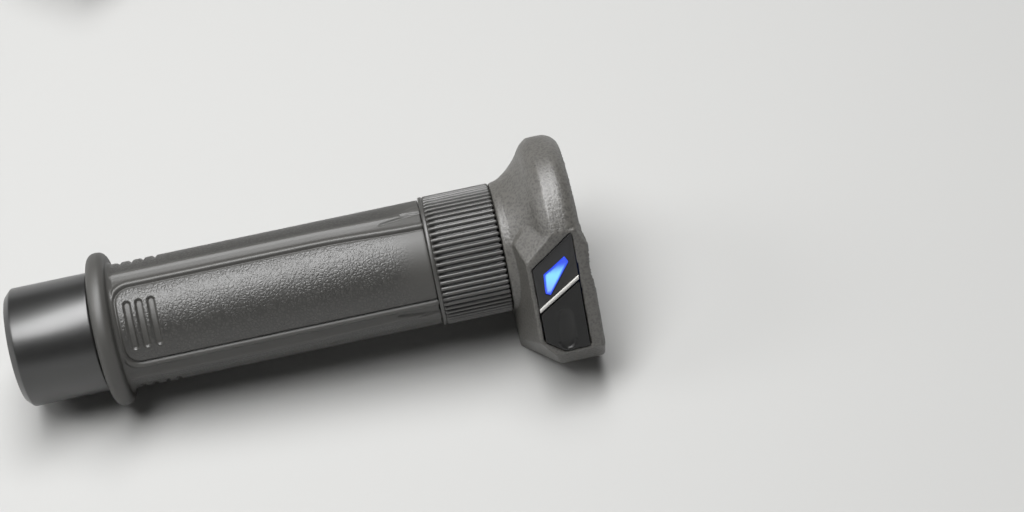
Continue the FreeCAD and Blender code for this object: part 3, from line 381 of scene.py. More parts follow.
def collar_finish(colours):
    """Collar skin: fine sandy grain on soft-touch plastic, painted lighter on its raised grain and darker in
    its hollows.
    """
    finish = Finish("collar_skin", {"Specular IOR Level": 1.0, "IOR": 1.54})
    sand = finish.noise(0.5 * MM, 2.0, 0.7)
    pits = finish.cells(0.75 * MM)
    dust = finish.noise(11 * MM, 5.0, 0.6)
    raised_grain = finish.step(0.6 * sand + 0.4 * pits, 0.3, 0.6)
    tone = finish.shades(dust, colours.collar, 0.86, 1.18)
    # Painted light and shade: lighter on the raised grain, darker in its hollows.
    tone = finish.blend(raised_grain * 0.7, tone, rgba(colours.collar, 1.7))
    finish.feed("Base Color", finish.blend((1 - raised_grain) * 0.45, tone, rgba(colours.collar, 0.4)))
    finish.feed("Roughness", 0.36 + 0.14 * sand)
    finish.relief(sand * 0.6 + pits * 0.4, 0.11 * MM)
    return finish.material


def bar_end_finish(colours):
    """Bar end weight: satin black metal with faint turning marks."""
    finish = Finish("bar_end_black", {"Specular IOR Level": 1.0, "IOR": 1.5, "Coat Roughness": 0.2})
    along = finish.stretched((1 / (0.12 * MM), 1 / (30 * MM), 1 / (30 * MM)))
    turning = finish.node("ShaderNodeTexNoise", {}, {"Vector": along, "Scale": 1.0, "Detail": 2.0}, "Fac")
    smear = finish.noise(7 * MM, 4.0)
    finish.feed("Base Color", finish.shades(smear, colours.bar_end, 0.8, 1.25))
    finish.feed("Roughness", 0.27 + 0.08 * turning + 0.07 * smear)
    finish.feed("Coat Weight", 0.15 + 0.2 * smear)
    finish.relief(turning, 0.003 * MM)
    return finish.material


def gloss_finish(name, base, roughness, smudge):
    """Gloss moulding with faint smudges and an almost flat surface."""
    finish = Finish(name, {"Specular IOR Level": 0.6, "Coat Roughness": 0.06})
    marks = finish.noise(3.5 * MM, 5.0, 0.65)
    ripple = finish.noise(1.6 * MM, 2.0)
    finish.feed("Base Color", finish.shades(marks, base, 0.8, 1.3))
    finish.feed("Roughness", roughness + smudge * marks)
    finish.feed("Coat Weight", 0.1 + 0.2 * marks)
    finish.relief(ripple, 0.004 * MM)
    return finish.material


def matt_finish(name, base, grain_size, grain_depth, roughness=0.5):
    """Moulded plastic or rubber with a spark-eroded grain."""
    finish = Finish(name, {"Specular IOR Level": 0.5})
    grain = finish.noise(grain_size, 3.0, 0.6)
    dust = finish.noise(8 * MM, 4.0)
    finish.feed("Base Color", finish.shades(dust, base, 0.84, 1.2))
    finish.feed("Roughness", roughness + 0.12 * grain)
    finish.relief(grain, grain_depth)
    return finish.material


def metal_finish(name, base, roughness, mark_size, mark_depth):
    """Plated or brushed metal with marks along the bar."""
    finish = Finish(name, {"Metallic": 1.0})
    along = finish.stretched((1 / mark_size, 1 / (8 * mark_size), 1 / (8 * mark_size)))
    marks = finish.node("ShaderNodeTexNoise", {}, {"Vector": along, "Scale": 1.0, "Detail": 3.0}, "Fac")
    tarnish = finish.noise(2.5 * MM, 4.0)
    finish.feed("Base Color", finish.shades(tarnish, base, 0.82, 1.12))
    finish.feed("Roughness", roughness + 0.1 * marks + 0.06 * tarnish)
    finish.relief(marks, mark_depth)
    return finish.material


def strip_finish(colours):
    """Satin silver strip, brushed across its width."""
    finish = Finish("strip_silver", {"Metallic": 0.15, "Specular IOR Level": 0.8})
    marks = finish.noise(0.18 * MM, 2.0)
    worn = finish.noise(1.4 * MM, 4.0, 0.65)
    finish.feed("Base Color", finish.shades(worn, colours.strip, 0.82, 1.12))
    finish.feed("Roughness", 0.34 + 0.14 * marks)
    finish.relief(marks, 0.006 * MM)
    return finish.material


def window_finish(colours):
    """Lit window: deep blue at its upper end and rim, pale in the middle."""
    finish = Finish("window_blue", {"Specular IOR Level": 0.5, "Emission Strength": 1.0,
                                    "Base Color": rgba(colours.window_body)})
    cloud = finish.noise(2.2 * MM, 2.0)
    light = finish.step(finish.layer("glow") + 0.16 * (cloud - 0.5), 0.0, 1.0)
    low = finish.blend(finish.layer("low"), rgba(colours.window_light), rgba(colours.window_low))
    finish.feed("Emission Color", finish.blend(light, rgba(colours.window_deep), low))
    finish.feed("Roughness", 0.1 + 0.08 * cloud)
    return finish.material


def button_finish(colours):
    """Black push button, a little paler and rougher in its dimple."""
    finish = Finish("button_black", {"Specular IOR Level": 0.5})
    grain = finish.noise(0.3 * MM, 3.0, 0.6)
    smear = finish.noise(2.4 * MM, 4.0)
    dimple_pale = finish.layer("dimple_pale") * (0.5 + smear)
    tone = finish.shades(smear, colours.button, 0.7, 1.3)
    finish.feed("Base Color", finish.blend(dimple_pale, tone, rgba(colours.button, 3.2)))
    finish.feed("Roughness", 0.34 + 0.12 * grain + 0.08 * dimple_pale)
    finish.relief(grain, 0.012 * MM)
    return finish.material


def copper_finish(colours):
    """Etched heating track under a thin lacquer."""
    finish = Finish("heater_copper", {"Metallic": 1.0})
    tarnish = finish.noise(4 * MM, 5.0)
    etched = finish.noise(0.2 * MM, 2.0)
    finish.feed("Base Color", finish.shades(tarnish, colours.copper, 0.7, 1.1))
    finish.feed("Roughness", 0.28 + 0.14 * etched)
    finish.relief(etched, 0.004 * MM)
    return finish.material


def board_finish(colours):
    """Lacquered circuit board with faint traces under the lacquer."""
    finish = Finish("board_green", {"Specular IOR Level": 0.5})
    cloud = finish.noise(3 * MM, 3.0)
    lit = 1 - finish.step(finish.cells(2.4 * MM, "DISTANCE_TO_EDGE"), 0.02, 0.09)
    tone = finish.shades(cloud, colours.board, 0.8, 1.2)
    finish.feed("Base Color", finish.blend(lit * 0.5, tone, rgba(colours.board, 1.8)))
    finish.feed("Roughness", 0.26 + 0.12 * cloud)
    finish.relief(lit, 0.02 * MM)
    return finish.material


FLOOR_FADE = (0.2, 0.55)


def floor_finish(sizes):
    """Pale floor with a faint mottle, as pale as the room further out and dim to what it lights."""
    finish = Finish("floor", {"Roughness": 0.7, "Specular IOR Level": 0.2})
    mottle = finish.noise(0.35, 3.0)
    finish.feed("Base Color", finish.shades(mottle, sizes.floor, 0.985, 1.01))
    lit = Value(finish, finish.shader.outputs[0])
    pale = finish.node("ShaderNodeEmission", {}, {"Color": rgba((sizes.backdrop,) * 3)})
    bounce = finish.node("ShaderNodeBsdfDiffuse", {}, {"Color": rgba((sizes.bounce,) * 3)})
    distance = finish.node("ShaderNodeVectorMath", {"operation": "LENGTH"}, {0: finish.place}, "Value")
    far = finish.step(distance, *FLOOR_FADE)
    thrown = finish.node("ShaderNodeLightPath", {}, {}, "Is Diffuse Ray")
    shown = finish.node("ShaderNodeMixShader", {}, {0: far, 1: lit, 2: pale})
    shown = finish.node("ShaderNodeMixShader", {}, {0: thrown, 1: shown, 2: bounce})
    finish.join(shown, "Material Output", "Surface")
    return finish.material


# Modelling helpers

def activate(obj):
    bpy.ops.object.select_all(action="DESELECT")
    obj.select_set(True)
    bpy.context.view_layer.objects.active = obj


def drawn(name, points):
    """Line of (x, radius) points in the grip's frame, drawn by extruding one vertex after another."""
    bpy.ops.object.select_all(action="DESELECT")
    bpy.ops.mesh.primitive_plane_add(size=MM, location=(0, 0, 0))
    obj = bpy.context.object
    obj.name = obj.data.name = name
    bpy.ops.object.mode_set(mode="EDIT")
    bpy.ops.mesh.select_all(action="SELECT")
    bpy.ops.mesh.merge(type="CENTER")
    bpy.ops.transform.translate(value=(points[0][0], 0, points[0][1]))
    for (x0, r0), (x1, r1) in zip(points, points[1:]):
        bpy.ops.mesh.extrude_vertices_move(TRANSFORM_OT_translate={"value": (x1 - x0, 0, r1 - r0)})
    bpy.ops.object.mode_set(mode="OBJECT")
    return obj


def turned(name, points, steps):
    """Closed profile of (x, radius) points, spun once round the bar."""
    obj = drawn(name, points)
    bpy.ops.object.mode_set(mode="EDIT")
    bpy.ops.mesh.select_all(action="SELECT")
    bpy.ops.mesh.spin(steps=steps, angle=2 * math.pi, center=(0, 0, 0), axis=(1, 0, 0))
    bpy.ops.mesh.select_all(action="SELECT")
    bpy.ops.mesh.remove_doubles(threshold=MERGE)
    bpy.ops.mesh.normals_make_consistent(inside=False)
    bpy.ops.object.mode_set(mode="OBJECT")
    return obj


def spread(start, end, count):
    """Places from start up to but without end."""
    return [start + (end - start) * i / count for i in range(count)]


def arc(x, r, radius, first, last, count):
    """Points of a rounded corner about (x, r), between two angles in degrees."""
    turns = [math.radians(first + (last - first) * i / count) for i in range(count + 1)]
    return [(x + radius * math.cos(t), r + radius * math.sin(t)) for t in turns]


def places(obj):
    """Each point's place along the bar, distance from it and elevation, in metres and degrees."""
    co = np.empty(len(obj.data.vertices) * 3)
    obj.data.vertices.foreach_get("co", co)
    x, y, z = co.reshape(-1, 3).T
    return x, np.hypot(y, z), np.degrees(np.arctan2(z, -y))


def rise(low, high, value):
    """0 below low and 1 above high, smooth between."""
    t = np.clip((value - low) / (high - low), 0, 1)
    return t * t * (3 - 2 * t)


def hump(value, half):
    """Rounded bump: 1 where value is 0, falling to 0 at half."""
    return (1 - np.clip(np.abs(value) / half, 0, 1) ** 2) ** 2


def line_distance(x, y, line):
    """Distance of each place from a line of points."""
    best = np.full(x.shape, 1.0)
    for (x0, y0), (x1, y1) in zip(line, line[1:]):
        run, climb = x1 - x0, y1 - y0
        share = np.clip(((x - x0) * run + (y - y0) * climb) / (run ** 2 + climb ** 2), 0, 1)
        best = np.minimum(best, np.hypot(x - x0 - share * run, y - y0 - share * climb))
    return best


def on_panel(points):
    """Places across, up and out of the panel's plane."""
    local = np.array([GRIPS["left"].inverted() @ Vector(p) for p in points])
    across = local[:, 0] - COLLAR_START
    up = local @ np.array((0, math.sin(PANEL_ELEVATION), math.cos(PANEL_ELEVATION)))
    out = local @ np.array((0, -math.cos(PANEL_ELEVATION), math.sin(PANEL_ELEVATION)))
    return np.stack((across, up, out), axis=1)


def store(obj, name, values):
    """Keeps a value on each point for the finish to read."""
    layer = obj.data.attributes.new(name, "FLOAT", "POINT")
    layer.data.foreach_set("value", values.astype(np.float32))


def displaced(obj, heights):
    """Moves the surface out by the positive heights and in by the negative ones, in metres."""
    activate(obj)
    for sign in (-1, 1):
        amounts = np.clip(sign * heights, 0, None)
        top = float(amounts.max())
        if top == 0:
            continue
        group = obj.vertex_groups.new(name="relief")
        for index in np.nonzero(amounts > top * 0.001)[0]:
            group.add([int(index)], float(amounts[index] / top), "REPLACE")
        relief = obj.modifiers.new("relief", "DISPLACE")
        relief.direction = "NORMAL"
        relief.mid_level = 0
        relief.strength = sign * top
        relief.vertex_group = group.name
        bpy.ops.object.modifier_apply(modifier=relief.name)
        obj.vertex_groups.clear()


def modified(obj, kind, **settings):
    """Adds a modifier and applies it."""
    activate(obj)
    modifier = obj.modifiers.new(kind.lower(), kind)
    for name, value in settings.items():
        setattr(modifier, name, value)
    bpy.ops.object.modifier_apply(modifier=modifier.name)


def copied(node):
    """Copy of a CAD node's mesh with its loose triangles merged."""
    source = frame["nodes"][node]
    obj = bpy.data.objects.new("dressed_" + node, source.data.copy())
    bpy.context.scene.collection.objects.link(obj)
    obj.data.name = obj.name
    activate(obj)
    bpy.ops.object.mode_set(mode="EDIT")
    bpy.ops.mesh.select_all(action="SELECT")
    bpy.ops.mesh.remove_doubles(threshold=MERGE)
    bpy.ops.object.mode_set(mode="OBJECT")
    return obj


def twin(obj, name):
    """Copy of a piece with a mesh of its own."""
    copy = obj.copy()
    copy.data = obj.data.copy()
    copy.name = copy.data.name = name
    bpy.context.scene.collection.objects.link(copy)
    return copy


def settled(obj, node, material):
    """Gives a piece its finish and lets it stand for its CAD node, on that node's body."""
    obj.data.materials.clear()
    obj.data.materials.append(material)
    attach(obj, frame["nodes"][node]["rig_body"])
    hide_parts(node)


def laid(obj, side):
    """Lays a piece from the grip's own frame into the row frame."""
    activate(obj)
    obj.matrix_world = GRIPS[side]
    bpy.ops.object.transform_apply(location=True, rotation=True, scale=True)


def dressed_pair(obj, part, material):
    """Both grips' copies of a piece that is the same on each."""
    pieces = {"left": obj, "right": twin(obj, "dressed_right_" + part)}
    obj.name = obj.data.name = "dressed_left_" + part
    for side, piece in pieces.items():
        laid(piece, side)
        settled(piece, side + "_" + part, material)


# Rubber grips

SEAT_RADIUS = 13.4 * MM
RELIEF_RADIUS = 11.95 * MM
RELIEF_LENGTH = 2.0 * MM
POCKET_RADIUS = 13.85 * MM
POCKET_START = 7.4 * MM
POCKET_END = 86.6 * MM
FACE_RADIUS = 15.5 * MM
END_ROUND = 0.4 * MM
FINE_END = 20.0 * MM
PLAIN_END = 74.0 * MM


def rubber_profile(sizes):
    """Closed line of the rubber's section, finer where the relief lies."""
    flange, around = sizes.flange_radius, sizes.flange_round
    root = sizes.root_round
    start, end = sizes.flange_thickness + root, sizes.length
    points = [(0.0, RELIEF_RADIUS), (0.0, FACE_RADIUS)]
    points += arc(around, flange - around, around, 180, 90, 9)
    points += arc(sizes.flange_thickness - around, flange - around, around, 90, 0, 9)
    points += arc(start, sizes.radius + root, root, 180, 270, 6)
    stretches = ((start, FINE_END, 58), (FINE_END, PLAIN_END, 26), (PLAIN_END, end - END_ROUND, 38))
    for low, high, count in stretches:
        points += [(x, sizes.radius) for x in spread(low, high, count)[1 if low == start else 0:]]
    points += arc(end - END_ROUND, sizes.radius - END_ROUND, END_ROUND, 90, 0, 3)
    points += [(end, SEAT_RADIUS), (POCKET_END, SEAT_RADIUS), (POCKET_END, POCKET_RADIUS),
               (POCKET_START, POCKET_RADIUS), (POCKET_START, SEAT_RADIUS), (RELIEF_LENGTH, SEAT_RADIUS),
               (RELIEF_LENGTH, RELIEF_RADIUS), points[0]]
    return points


PAD_NARROWS = (60 * MM, 90 * MM)


def pad_distance(sizes, x, around):
    """Distance outwards from the pad's groove, negative on the pad."""
    half = sizes.pad_half_width - sizes.pad_narrowing * rise(*PAD_NARROWS, x) * (around > 0)
    corner = sizes.pad_corner
    ahead = sizes.pad_start + corner - x
    aside = np.abs(around) - (half - corner)
    outside = np.hypot(np.clip(ahead, 0, None), np.clip(aside, 0, None))
    return outside + np.minimum(np.maximum(ahead, aside), 0) - corner


GROOVE_HALF = 0.5 * MM
LIP_PLACE = 1.1 * MM
LIP_HALF = 0.95 * MM
CREST_HALF = 1.1 * MM
SLOT_HALF_LENGTH = 5.6 * MM
SLOT_HALF_WIDTH = 1.0 * MM
FINGER_HALF = 0.75 * MM
FINGER_SIDE = (20.6 * MM, 21.8 * MM)
SLIT_HALF = 0.42 * MM
SLIT_DEPTH = 0.45 * MM
SLIT_LINES = (((78.6, 14.1), (84.1, 14.75), (89.2, 15.25)), ((84.2, 15.8), (89.2, 15.35)))


def rubber_relief(sizes, x, radius, elevation):
    """Heights of the grip's relief, its grained places, and its lip and ridge crests, which are worn glossier
    and painted lighter as a highlight.
    """
    turn = np.radians((elevation - math.degrees(sizes.pad_elevation) + 180) % 360 - 180)
    around = turn * sizes.radius
    aside = np.abs(around)
    outer = (radius > sizes.radius - 0.3 * MM) & (x > sizes.flange_thickness + sizes.root_round * 0.5)
    edge = pad_distance(sizes, x, around)
    front = rise(sizes.flange_thickness + 0.7 * MM, sizes.flange_thickness + 1.6 * MM, x)
    ridge = sizes.ridge_place - 0.6 * MM * rise(57 * MM, 82 * MM, x)
    widen = rise(82 * MM, 89 * MM, x)
    groove = hump(edge, GROOVE_HALF)
    lip = hump(edge - LIP_PLACE, LIP_HALF)
    crown = 1 - rise(-4.0 * MM, -0.2 * MM, edge)
    hollow = rise(1.4 * MM, 2.8 * MM, edge) * (1 - rise(ridge - 2.6 * MM, ridge, aside))
    hollow = hollow * (1 - 0.75 * rise(72 * MM, 88 * MM, x))
    crest = hump(aside - ridge - 1.6 * MM * widen, CREST_HALF + 1.4 * MM * widen)
    slots = np.zeros_like(x)
    for i in range(sizes.slots):
        off = np.clip(aside - SLOT_HALF_LENGTH, 0, None)
        gap = np.hypot(x - sizes.slot_start - i * sizes.slot_pitch, off) - SLOT_HALF_WIDTH
        slots = np.maximum(slots, 1 - rise(-0.35 * MM, 0.12 * MM, gap))
    fingers = np.zeros_like(x)
    for i in range(sizes.fingers):
        fingers += hump(x - sizes.finger_start - i * sizes.finger_pitch, FINGER_HALF)
    fingers = fingers * rise(*FINGER_SIDE, aside)
    slits = np.zeros_like(x)
    for line in SLIT_LINES:
        marks = [(u * MM, v * MM) for u, v in line]
        slits = np.maximum(slits, hump(line_distance(x, aside, marks), SLIT_HALF))
    heights = (sizes.pad_crown * crown + sizes.lip_height * lip + sizes.ridge_height * crest
               - sizes.groove_depth * groove - sizes.channel_depth * hollow - sizes.slot_depth * slots
               - sizes.finger_depth * fingers - SLIT_DEPTH * slits)
    beyond = rise(ridge + 0.6 * MM, ridge + 1.2 * MM, aside)
    grained = np.maximum(1 - rise(-1.0 * MM, -0.5 * MM, edge), beyond)
    grained = grained * (1 - rise(77 * MM, 88 * MM, x)) * (1 - slots) * front * outer
    return heights * front * outer, grained, np.maximum(lip, crest) * front * outer


class GRIPS_OT_rubber(bpy.types.Operator):
    """Models the rubber grips: flange, palm pad with its groove and slots, channels and finger grooves"""
    bl_idname = "heated_grips.rubber"
    bl_label = "Rubber grips"

    def execute(self, context):
        sizes = context.scene.rubber_sizes
        obj = turned("dressed_grip", rubber_profile(sizes), sizes.steps)
        heights, grained, polished_and_highlit = rubber_relief(sizes, *places(obj))
        displaced(obj, heights)
        store(obj, "grain", grained)
        # Lip and ridge crests, which the finish paints lighter as a highlight and makes a little glossier.
        store(obj, "polish_and_highlight", polished_and_highlit)
        modified(obj, "SMOOTH", factor=0.35, iterations=1)
        bpy.ops.object.shade_smooth()
        dressed_pair(obj, "grip_rubber", rubber_finish(context.scene.finish_colours))
        return {"FINISHED"}


# Ribbed bands

RIB_FLANK = (0.12, 0.34)


def band_profile(sizes):
    """Closed line of the band's section, with a plain lip at its outboard end."""
    start, end = sizes.start, sizes.start + sizes.length
    radius, lip = sizes.radius, sizes.lip_width
    small = 0.35 * MM
    points = [(start, SEAT_RADIUS)] + arc(start + small, radius - small, small, 180, 90, 4)
    points += arc(start + lip - small, radius - small, small, 80, 20, 3)
    points += [(start + lip + 0.12 * MM, radius - 0.28 * MM), (start + lip + 0.3 * MM, radius - 0.1 * MM)]
    points += [(x, radius) for x in spread(start + lip + 0.5 * MM, end - 0.5 * MM, 9)]
    points += [(end - 0.5 * MM, radius), (end - 0.2 * MM, radius - 0.05 * MM), (end, radius - 0.25 * MM)]
    return points + [(end, SEAT_RADIUS), points[0]]


class GRIPS_OT_bands(bpy.types.Operator):
    """Models the bands: a plain lip and fine rounded ribs along the bar"""
    bl_idname = "heated_grips.bands"
    bl_label = "Ribbed bands"

    def execute(self, context):
        sizes = context.scene.band_sizes
        obj = turned("dressed_band", band_profile(sizes), sizes.ribs * sizes.rib_steps)
        x, radius, elevation = places(obj)
        share = np.abs((elevation * sizes.ribs / 360) % 1 - 0.5)
        low = 1 - rise(*RIB_FLANK, share)
        inside = rise(sizes.start + sizes.lip_width, sizes.start + sizes.lip_width + 0.4 * MM, x)
        low = low * inside * (radius > sizes.radius - 0.4 * MM)
        displaced(obj, -sizes.rib_depth * low)
        # The rib grooves, which the finish darkens as painted shade.
        store(obj, "low", low)
        bpy.ops.object.shade_smooth()
        dressed_pair(obj, "ribbed_band", band_finish(context.scene.finish_colours))
        return {"FINISHED"}


# Collars

class GRIPS_OT_collars(bpy.types.Operator):
    """Rounds the edges of both collar shells and gives them their grained skin"""
    bl_idname = "heated_grips.collars"
    bl_label = "Collars"

    def execute(self, context):
        sizes = context.scene.shell_sizes
        material = collar_finish(context.scene.finish_colours)
        for side in SIDES:
            node = side + "_collar_shell"
            obj = copied(node)
            modified(obj, "REMESH", mode="VOXEL", voxel_size=sizes.collar_grid)
            modified(obj, "SMOOTH", factor=0.5, iterations=sizes.collar_passes)
            modified(obj, "DECIMATE", decimate_type="COLLAPSE", ratio=sizes.collar_detail)
            bpy.ops.object.shade_smooth()
            settled(obj, node, material)
        return {"FINISHED"}


# Panel

FLAT_ANGLE = math.radians(1)
EDGE_ANGLE = math.radians(40)
SMOOTH_ANGLE = math.radians(38)


def bevelled(node, width, segments=3):
    """Copy of a CAD node with its flat faces joined and its edges rounded."""
    obj = copied(node)
    bpy.ops.object.mode_set(mode="EDIT")
    bpy.ops.mesh.select_all(action="SELECT")
    bpy.ops.mesh.dissolve_limited(angle_limit=FLAT_ANGLE)
    bpy.ops.object.mode_set(mode="OBJECT")
    modified(obj, "BEVEL", width=width, segments=segments, limit_method="ANGLE",
             angle_limit=EDGE_ANGLE, use_clamp_overlap=True)
    bpy.ops.object.shade_smooth_by_angle(angle=SMOOTH_ANGLE)
    return obj


WINDOW_FACE = 6 * MM * MM
DIMPLE_ACROSS = 12.1 * MM
DIMPLE_UP = -15.4 * MM
DIMPLE_WIDTH = 2.3 * MM
DIMPLE_HEIGHT = 6.8 * MM
DIMPLE_SLANT = math.radians(8)
DIMPLE_LIP = ((9.6, -19.6), (10.1, -20.9), (11.3, -21.7), (12.6, -21.6), (13.6, -20.7), (14.1, -19.4))


class GRIPS_OT_panel(bpy.types.Operator):
    """Finishes the panel: gloss fascia, silver strip, lit window and push button"""
    bl_idname = "heated_grips.panel"
    bl_label = "Panel"

    def execute(self, context):
        sizes = context.scene.shell_sizes
        colours = context.scene.finish_colours
        fascia = bevelled("left_panel_fascia", 0.28 * MM)
        settled(fascia, "left_panel_fascia",
                gloss_finish("panel_gloss", colours.panel, 0.3, 0.1))
        strip = bevelled("left_panel_strip", 0.4 * MM, 4)
        settled(strip, "left_panel_strip", strip_finish(colours))
        window = bevelled("left_light_window", 0.12 * MM)
        self.light(window)
        settled(window, "left_light_window", window_finish(colours))
        button = copied("left_push_button")
        modified(button, "REMESH", mode="VOXEL", voxel_size=sizes.button_grid)
        modified(button, "SMOOTH", factor=0.5, iterations=sizes.button_passes)
        across, up, out = on_panel([v.co for v in button.data.vertices]).T
        lip = hump(line_distance(across, up, [(u * MM, v * MM) for u, v in DIMPLE_LIP]), 0.6 * MM)
        displaced(button, sizes.dimple_lip * lip * rise(out.max() - 1.4 * MM, out.max() - 0.9 * MM, out))
        height = up - DIMPLE_UP
        slant = across - DIMPLE_ACROSS - height * math.tan(DIMPLE_SLANT)
        # The dimple's oval, which the finish makes paler and rougher.
        store(button, "dimple_pale", 1 - rise(0.72, 1.0, np.hypot(slant / DIMPLE_WIDTH, height / DIMPLE_HEIGHT)))
        bpy.ops.object.shade_smooth()
        settled(button, "left_push_button", button_finish(colours))
        return {"FINISHED"}

    @staticmethod
    def light(window):
        """Stores how brightly each point of the window glows and which points lie low."""
        large = [face for face in window.data.polygons if face.area > WINDOW_FACE]
        front = max(large, key=lambda face: on_panel([face.center])[0, 2])
        rim = on_panel([window.data.vertices[i].co for i in front.vertices])
        modified(window, "SUBSURF", subdivision_type="SIMPLE", levels=3, render_levels=3)
        across, up = on_panel([v.co for v in window.data.vertices]).T[:2]
        edge = line_distance(across, up, [*rim[:, :2], rim[0, :2]])
        height = (up - up.min()) / (up.max() - up.min())
        store(window, "glow", rise(0.05 * MM, 0.55 * MM, edge) * (1 - rise(0.5, 0.86, height)))
        store(window, "low", 1 - rise(0.1, 0.5, height))


# Bar ends, covers, screws and the other fitted parts

class GRIPS_OT_bar_ends(bpy.types.Operator):
    """Rounds the edges of the bar end weights and their bolts"""
    bl_idname = "heated_grips.bar_ends"
    bl_label = "Bar ends"

    def execute(self, context):
        colours = context.scene.finish_colours
        satin = bar_end_finish(colours)
        oxide = matt_finish("bolt_black", colours.bolt, 0.4 * MM, 0.006 * MM, 0.34)
        for side in SIDES:
            weight = side + "_bar_end_weight"
            settled(bevelled(weight, 0.5 * MM, 4), weight, satin)
            bolt = side + "_bar_end_bolt"
            settled(bevelled(bolt, 0.3 * MM), bolt, oxide)
        return {"FINISHED"}


class GRIPS_OT_fittings(bpy.types.Operator):
    """Rounds the edges of the covers, screws, glands, sleeve and throttle tube"""
    bl_idname = "heated_grips.fittings"
    bl_label = "Covers and fittings"

    def execute(self, context):
        colours = context.scene.finish_colours
        cover = matt_finish("cover_plastic", colours.plastic, 0.35 * MM, 0.02 * MM)
        screw = metal_finish("screw_steel", colours.steel, 0.26, 0.3 * MM, 0.004 * MM)
        gland = matt_finish("gland_rubber", colours.gland, 0.3 * MM, 0.008 * MM, 0.55)
        tube = matt_finish("tube_plastic", colours.tube, 0.3 * MM, 0.012 * MM, 0.42)
        core = matt_finish("core_plastic", colours.plastic, 0.3 * MM, 0.012 * MM, 0.44)
        for side in SIDES:
            for part, width, slot, material in (("collar_cover", 0.25, "cover_plastic", cover),
                                                ("cover_screws", 0.15, "screw_steel", screw),
                                                ("cable_gland", 0.3, "gland_rubber", gland)):
                node = side + "_" + part
                settled(bevelled(node, width * MM), node, material)
        settled(bevelled("left_core_sleeve", 0.2 * MM), "left_core_sleeve", core)
        settled(bevelled("right_throttle_tube", 0.2 * MM), "right_throttle_tube", tube)
        return {"FINISHED"}


class GRIPS_OT_inner_parts(bpy.types.Operator):
    """Finishes the parts inside the grips, which keep their own shapes"""
    bl_idname = "heated_grips.inner_parts"
    bl_label = "Inner parts"

    def execute(self, context):
        colours = context.scene.finish_colours
        film = gloss_finish("heater_film", colours.film, 0.2, 0.12)
        steel = metal_finish("board_screw_steel", colours.steel, 0.3, 0.2 * MM, 0.003 * MM)
        bead = gloss_finish("sensor_bead", colours.bead, 0.22, 0.1)
        lead = matt_finish("lead_insulation", colours.lead, 0.2 * MM, 0.004 * MM, 0.42)
        copper = copper_finish(colours)
        socket = matt_finish("socket_plastic", colours.socket, 0.25 * MM, 0.006 * MM, 0.38)
        lamp = gloss_finish("lamp_body", colours.lamp, 0.15, 0.08)
        plunger = matt_finish("plunger_plastic", colours.plunger, 0.25 * MM, 0.004 * MM, 0.4)
        switch = matt_finish("switch_body", colours.switch, 0.25 * MM, 0.006 * MM, 0.4)
        board = board_finish(colours)
        parts = {"heater_film": film, "heater_track": copper, "thermistor": bead, "heater_leads": lead,
                 "board_screws": steel, "cable_socket": socket, "terminal_block": socket,
                 "circuit_board": board,
                 "status_lamp": lamp, "switch_plunger": plunger, "tact_switch": switch}
        for name, obj in frame["nodes"].items():
            part = name.split("_", 1)[1]
            if part in parts:
                obj.data.materials.clear()
                obj.data.materials.append(parts[part])
        return {"FINISHED"}


# Stage

HORIZON = (0.12, 0.4)
FLOOR_WIDTH = 20.0
FLOOR_DROP = 0.1 * MM


def camera_matrix(sizes):
    """Camera's place and axes, from the view's angles in the left grip's frame."""
    turn = (Matrix.Rotation(sizes.camera_yaw, 3, "Z") @ Matrix.Rotation(sizes.camera_pitch, 3, "X")
            @ Matrix.Rotation(sizes.camera_roll, 3, "Y"))
    tilt = sizes.camera_elevation
    towards = Vector((0, -math.cos(tilt), math.sin(tilt)))
    above = Vector((0, math.sin(tilt), math.cos(tilt)))

    def spatial(v):
        return Vector((v[0], 0, 0)) + towards * v[1] + above * v[2]

    right, back, top = (spatial(turn.col[i]) for i in range(3))
    matrix = Matrix((right, top, back)).transposed().to_4x4()
    matrix.translation = spatial((sizes.camera_across, sizes.camera_away, sizes.camera_rise))
    return GRIPS["left"] @ matrix


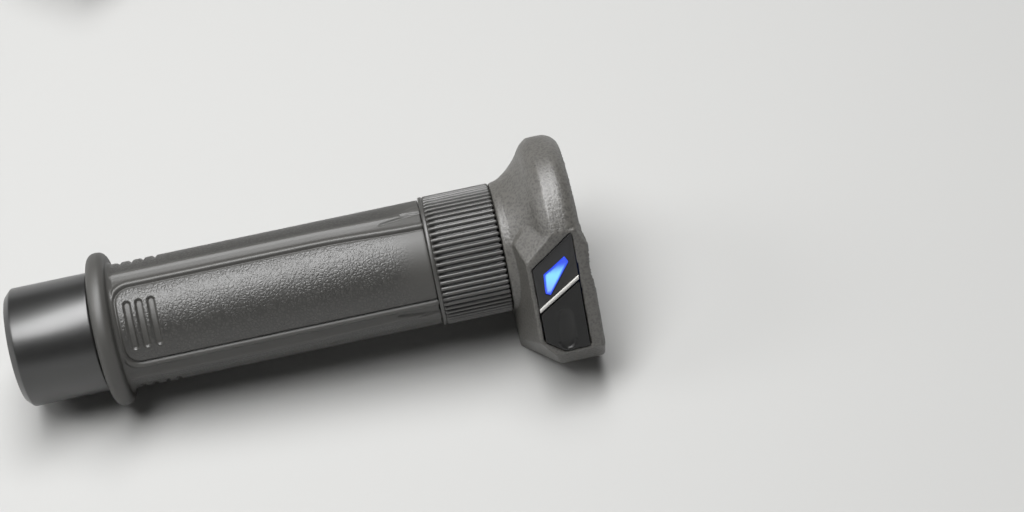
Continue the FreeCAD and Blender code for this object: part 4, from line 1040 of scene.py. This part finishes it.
class GRIPS_OT_stage(bpy.types.Operator):
    """Sets up the camera, the softbox, the room and a pale floor"""
    bl_idname = "heated_grips.stage"
    bl_label = "Stage"

    def execute(self, context):
        sizes = context.scene.stage_sizes
        bpy.ops.object.select_all(action="DESELECT")
        bpy.ops.object.camera_add()
        camera = context.object
        camera.name = "camera"
        camera.data.lens = sizes.lens
        camera.data.clip_start = 0.01
        camera.matrix_world = camera_matrix(sizes)
        context.scene.camera = camera
        self.lamp("softbox", sizes.box_across, sizes.box_elevation, sizes.box_distance,
                  (sizes.box_width, sizes.box_depth), sizes.box_power)
        self.lamp("side_light", sizes.side_across, sizes.side_elevation, sizes.side_distance,
                  (sizes.side_width, sizes.side_width), sizes.side_power)
        bpy.ops.mesh.primitive_plane_add(size=FLOOR_WIDTH, location=(0, 0, -FLOOR_DROP))
        floor = context.object
        floor.name = "floor"
        floor.data.materials.append(floor_finish(sizes))
        bpy.ops.object.transform_apply(location=True, rotation=True, scale=True)
        self.room(context.scene, sizes)
        context.scene.view_settings.view_transform = "Standard"
        return {"FINISHED"}

    @staticmethod
    def lamp(name, across, elevation, distance, size, power):
        """Soft lamp at an elevation round the bar, turned to the grip's middle."""
        bpy.ops.object.light_add(type="AREA")
        lamp = bpy.context.object
        lamp.name = name
        lamp.data.shape = "RECTANGLE"
        lamp.data.size, lamp.data.size_y = size
        lamp.data.energy = power
        place = Vector((across, -math.cos(elevation) * distance, math.sin(elevation) * distance))
        place = GRIPS["left"] @ place
        aim = place - GRIPS["left"] @ GRIP_MIDDLE
        lamp.matrix_world = Matrix.Translation(place) @ aim.to_track_quat("Z", "Y").to_matrix().to_4x4()

    @staticmethod
    def room(scene, sizes):
        """Dim room on the object, whose pale horizon shows to the camera and in gloss and glass."""
        world = bpy.data.worlds.new("room")
        scene.world = world
        world.use_nodes = True
        world.node_tree.nodes["Background"].inputs["Color"].default_value = (1, 1, 1, 1)
        nodes = Nodes(world.node_tree)
        camera, gloss, glass = (nodes.node("ShaderNodeLightPath", {}, {}, "Is " + ray + " Ray")
                                for ray in ("Camera", "Glossy", "Transmission"))
        height = nodes.node("ShaderNodeSeparateXYZ", {}, {0: nodes.place}, "Z")
        pale = sizes.backdrop - (sizes.backdrop - sizes.room) * nodes.step(height, *HORIZON)
        level = nodes.node("ShaderNodeMix", {}, {0: camera + gloss + glass, 2: sizes.room, 3: pale})
        nodes.join(level, "Background", "Strength")


class GRIPS_PT_panel(bpy.types.Panel):
    """Lists the pieces and their sizes in the sidebar"""
    bl_idname = "GRIPS_PT_panel"
    bl_label = "Heated Grips"
    bl_space_type = "VIEW_3D"
    bl_region_type = "UI"
    bl_category = "Heated Grips"

    def draw(self, context):
        for operator in OPERATORS:
            self.layout.operator(operator.bl_idname)
        for name, group in GROUPS.items():
            box = self.layout.box()
            for prop in group.__annotations__:
                box.prop(getattr(context.scene, name), prop)


GROUPS = {"rubber_sizes": RubberSizes, "band_sizes": BandSizes, "shell_sizes": ShellSizes,
          "finish_colours": FinishColours, "stage_sizes": StageSizes}
OPERATORS = (GRIPS_OT_stage, GRIPS_OT_rubber, GRIPS_OT_bands, GRIPS_OT_collars, GRIPS_OT_panel,
             GRIPS_OT_bar_ends, GRIPS_OT_fittings, GRIPS_OT_inner_parts)


def register():
    for cls in (*GROUPS.values(), *OPERATORS, GRIPS_PT_panel):
        bpy.utils.register_class(cls)
    for name, group in GROUPS.items():
        setattr(bpy.types.Scene, name, PointerProperty(type=group))


def unregister():
    for name in GROUPS:
        delattr(bpy.types.Scene, name)
    for cls in reversed((*GROUPS.values(), *OPERATORS, GRIPS_PT_panel)):
        bpy.utils.unregister_class(cls)


def main():
    register()
    bpy.ops.heated_grips.stage()
    bpy.ops.heated_grips.rubber()
    bpy.ops.heated_grips.bands()
    bpy.ops.heated_grips.collars()
    bpy.ops.heated_grips.panel()
    bpy.ops.heated_grips.bar_ends()
    bpy.ops.heated_grips.fittings()
    bpy.ops.heated_grips.inner_parts()


if __name__ == "__main__":
    main()
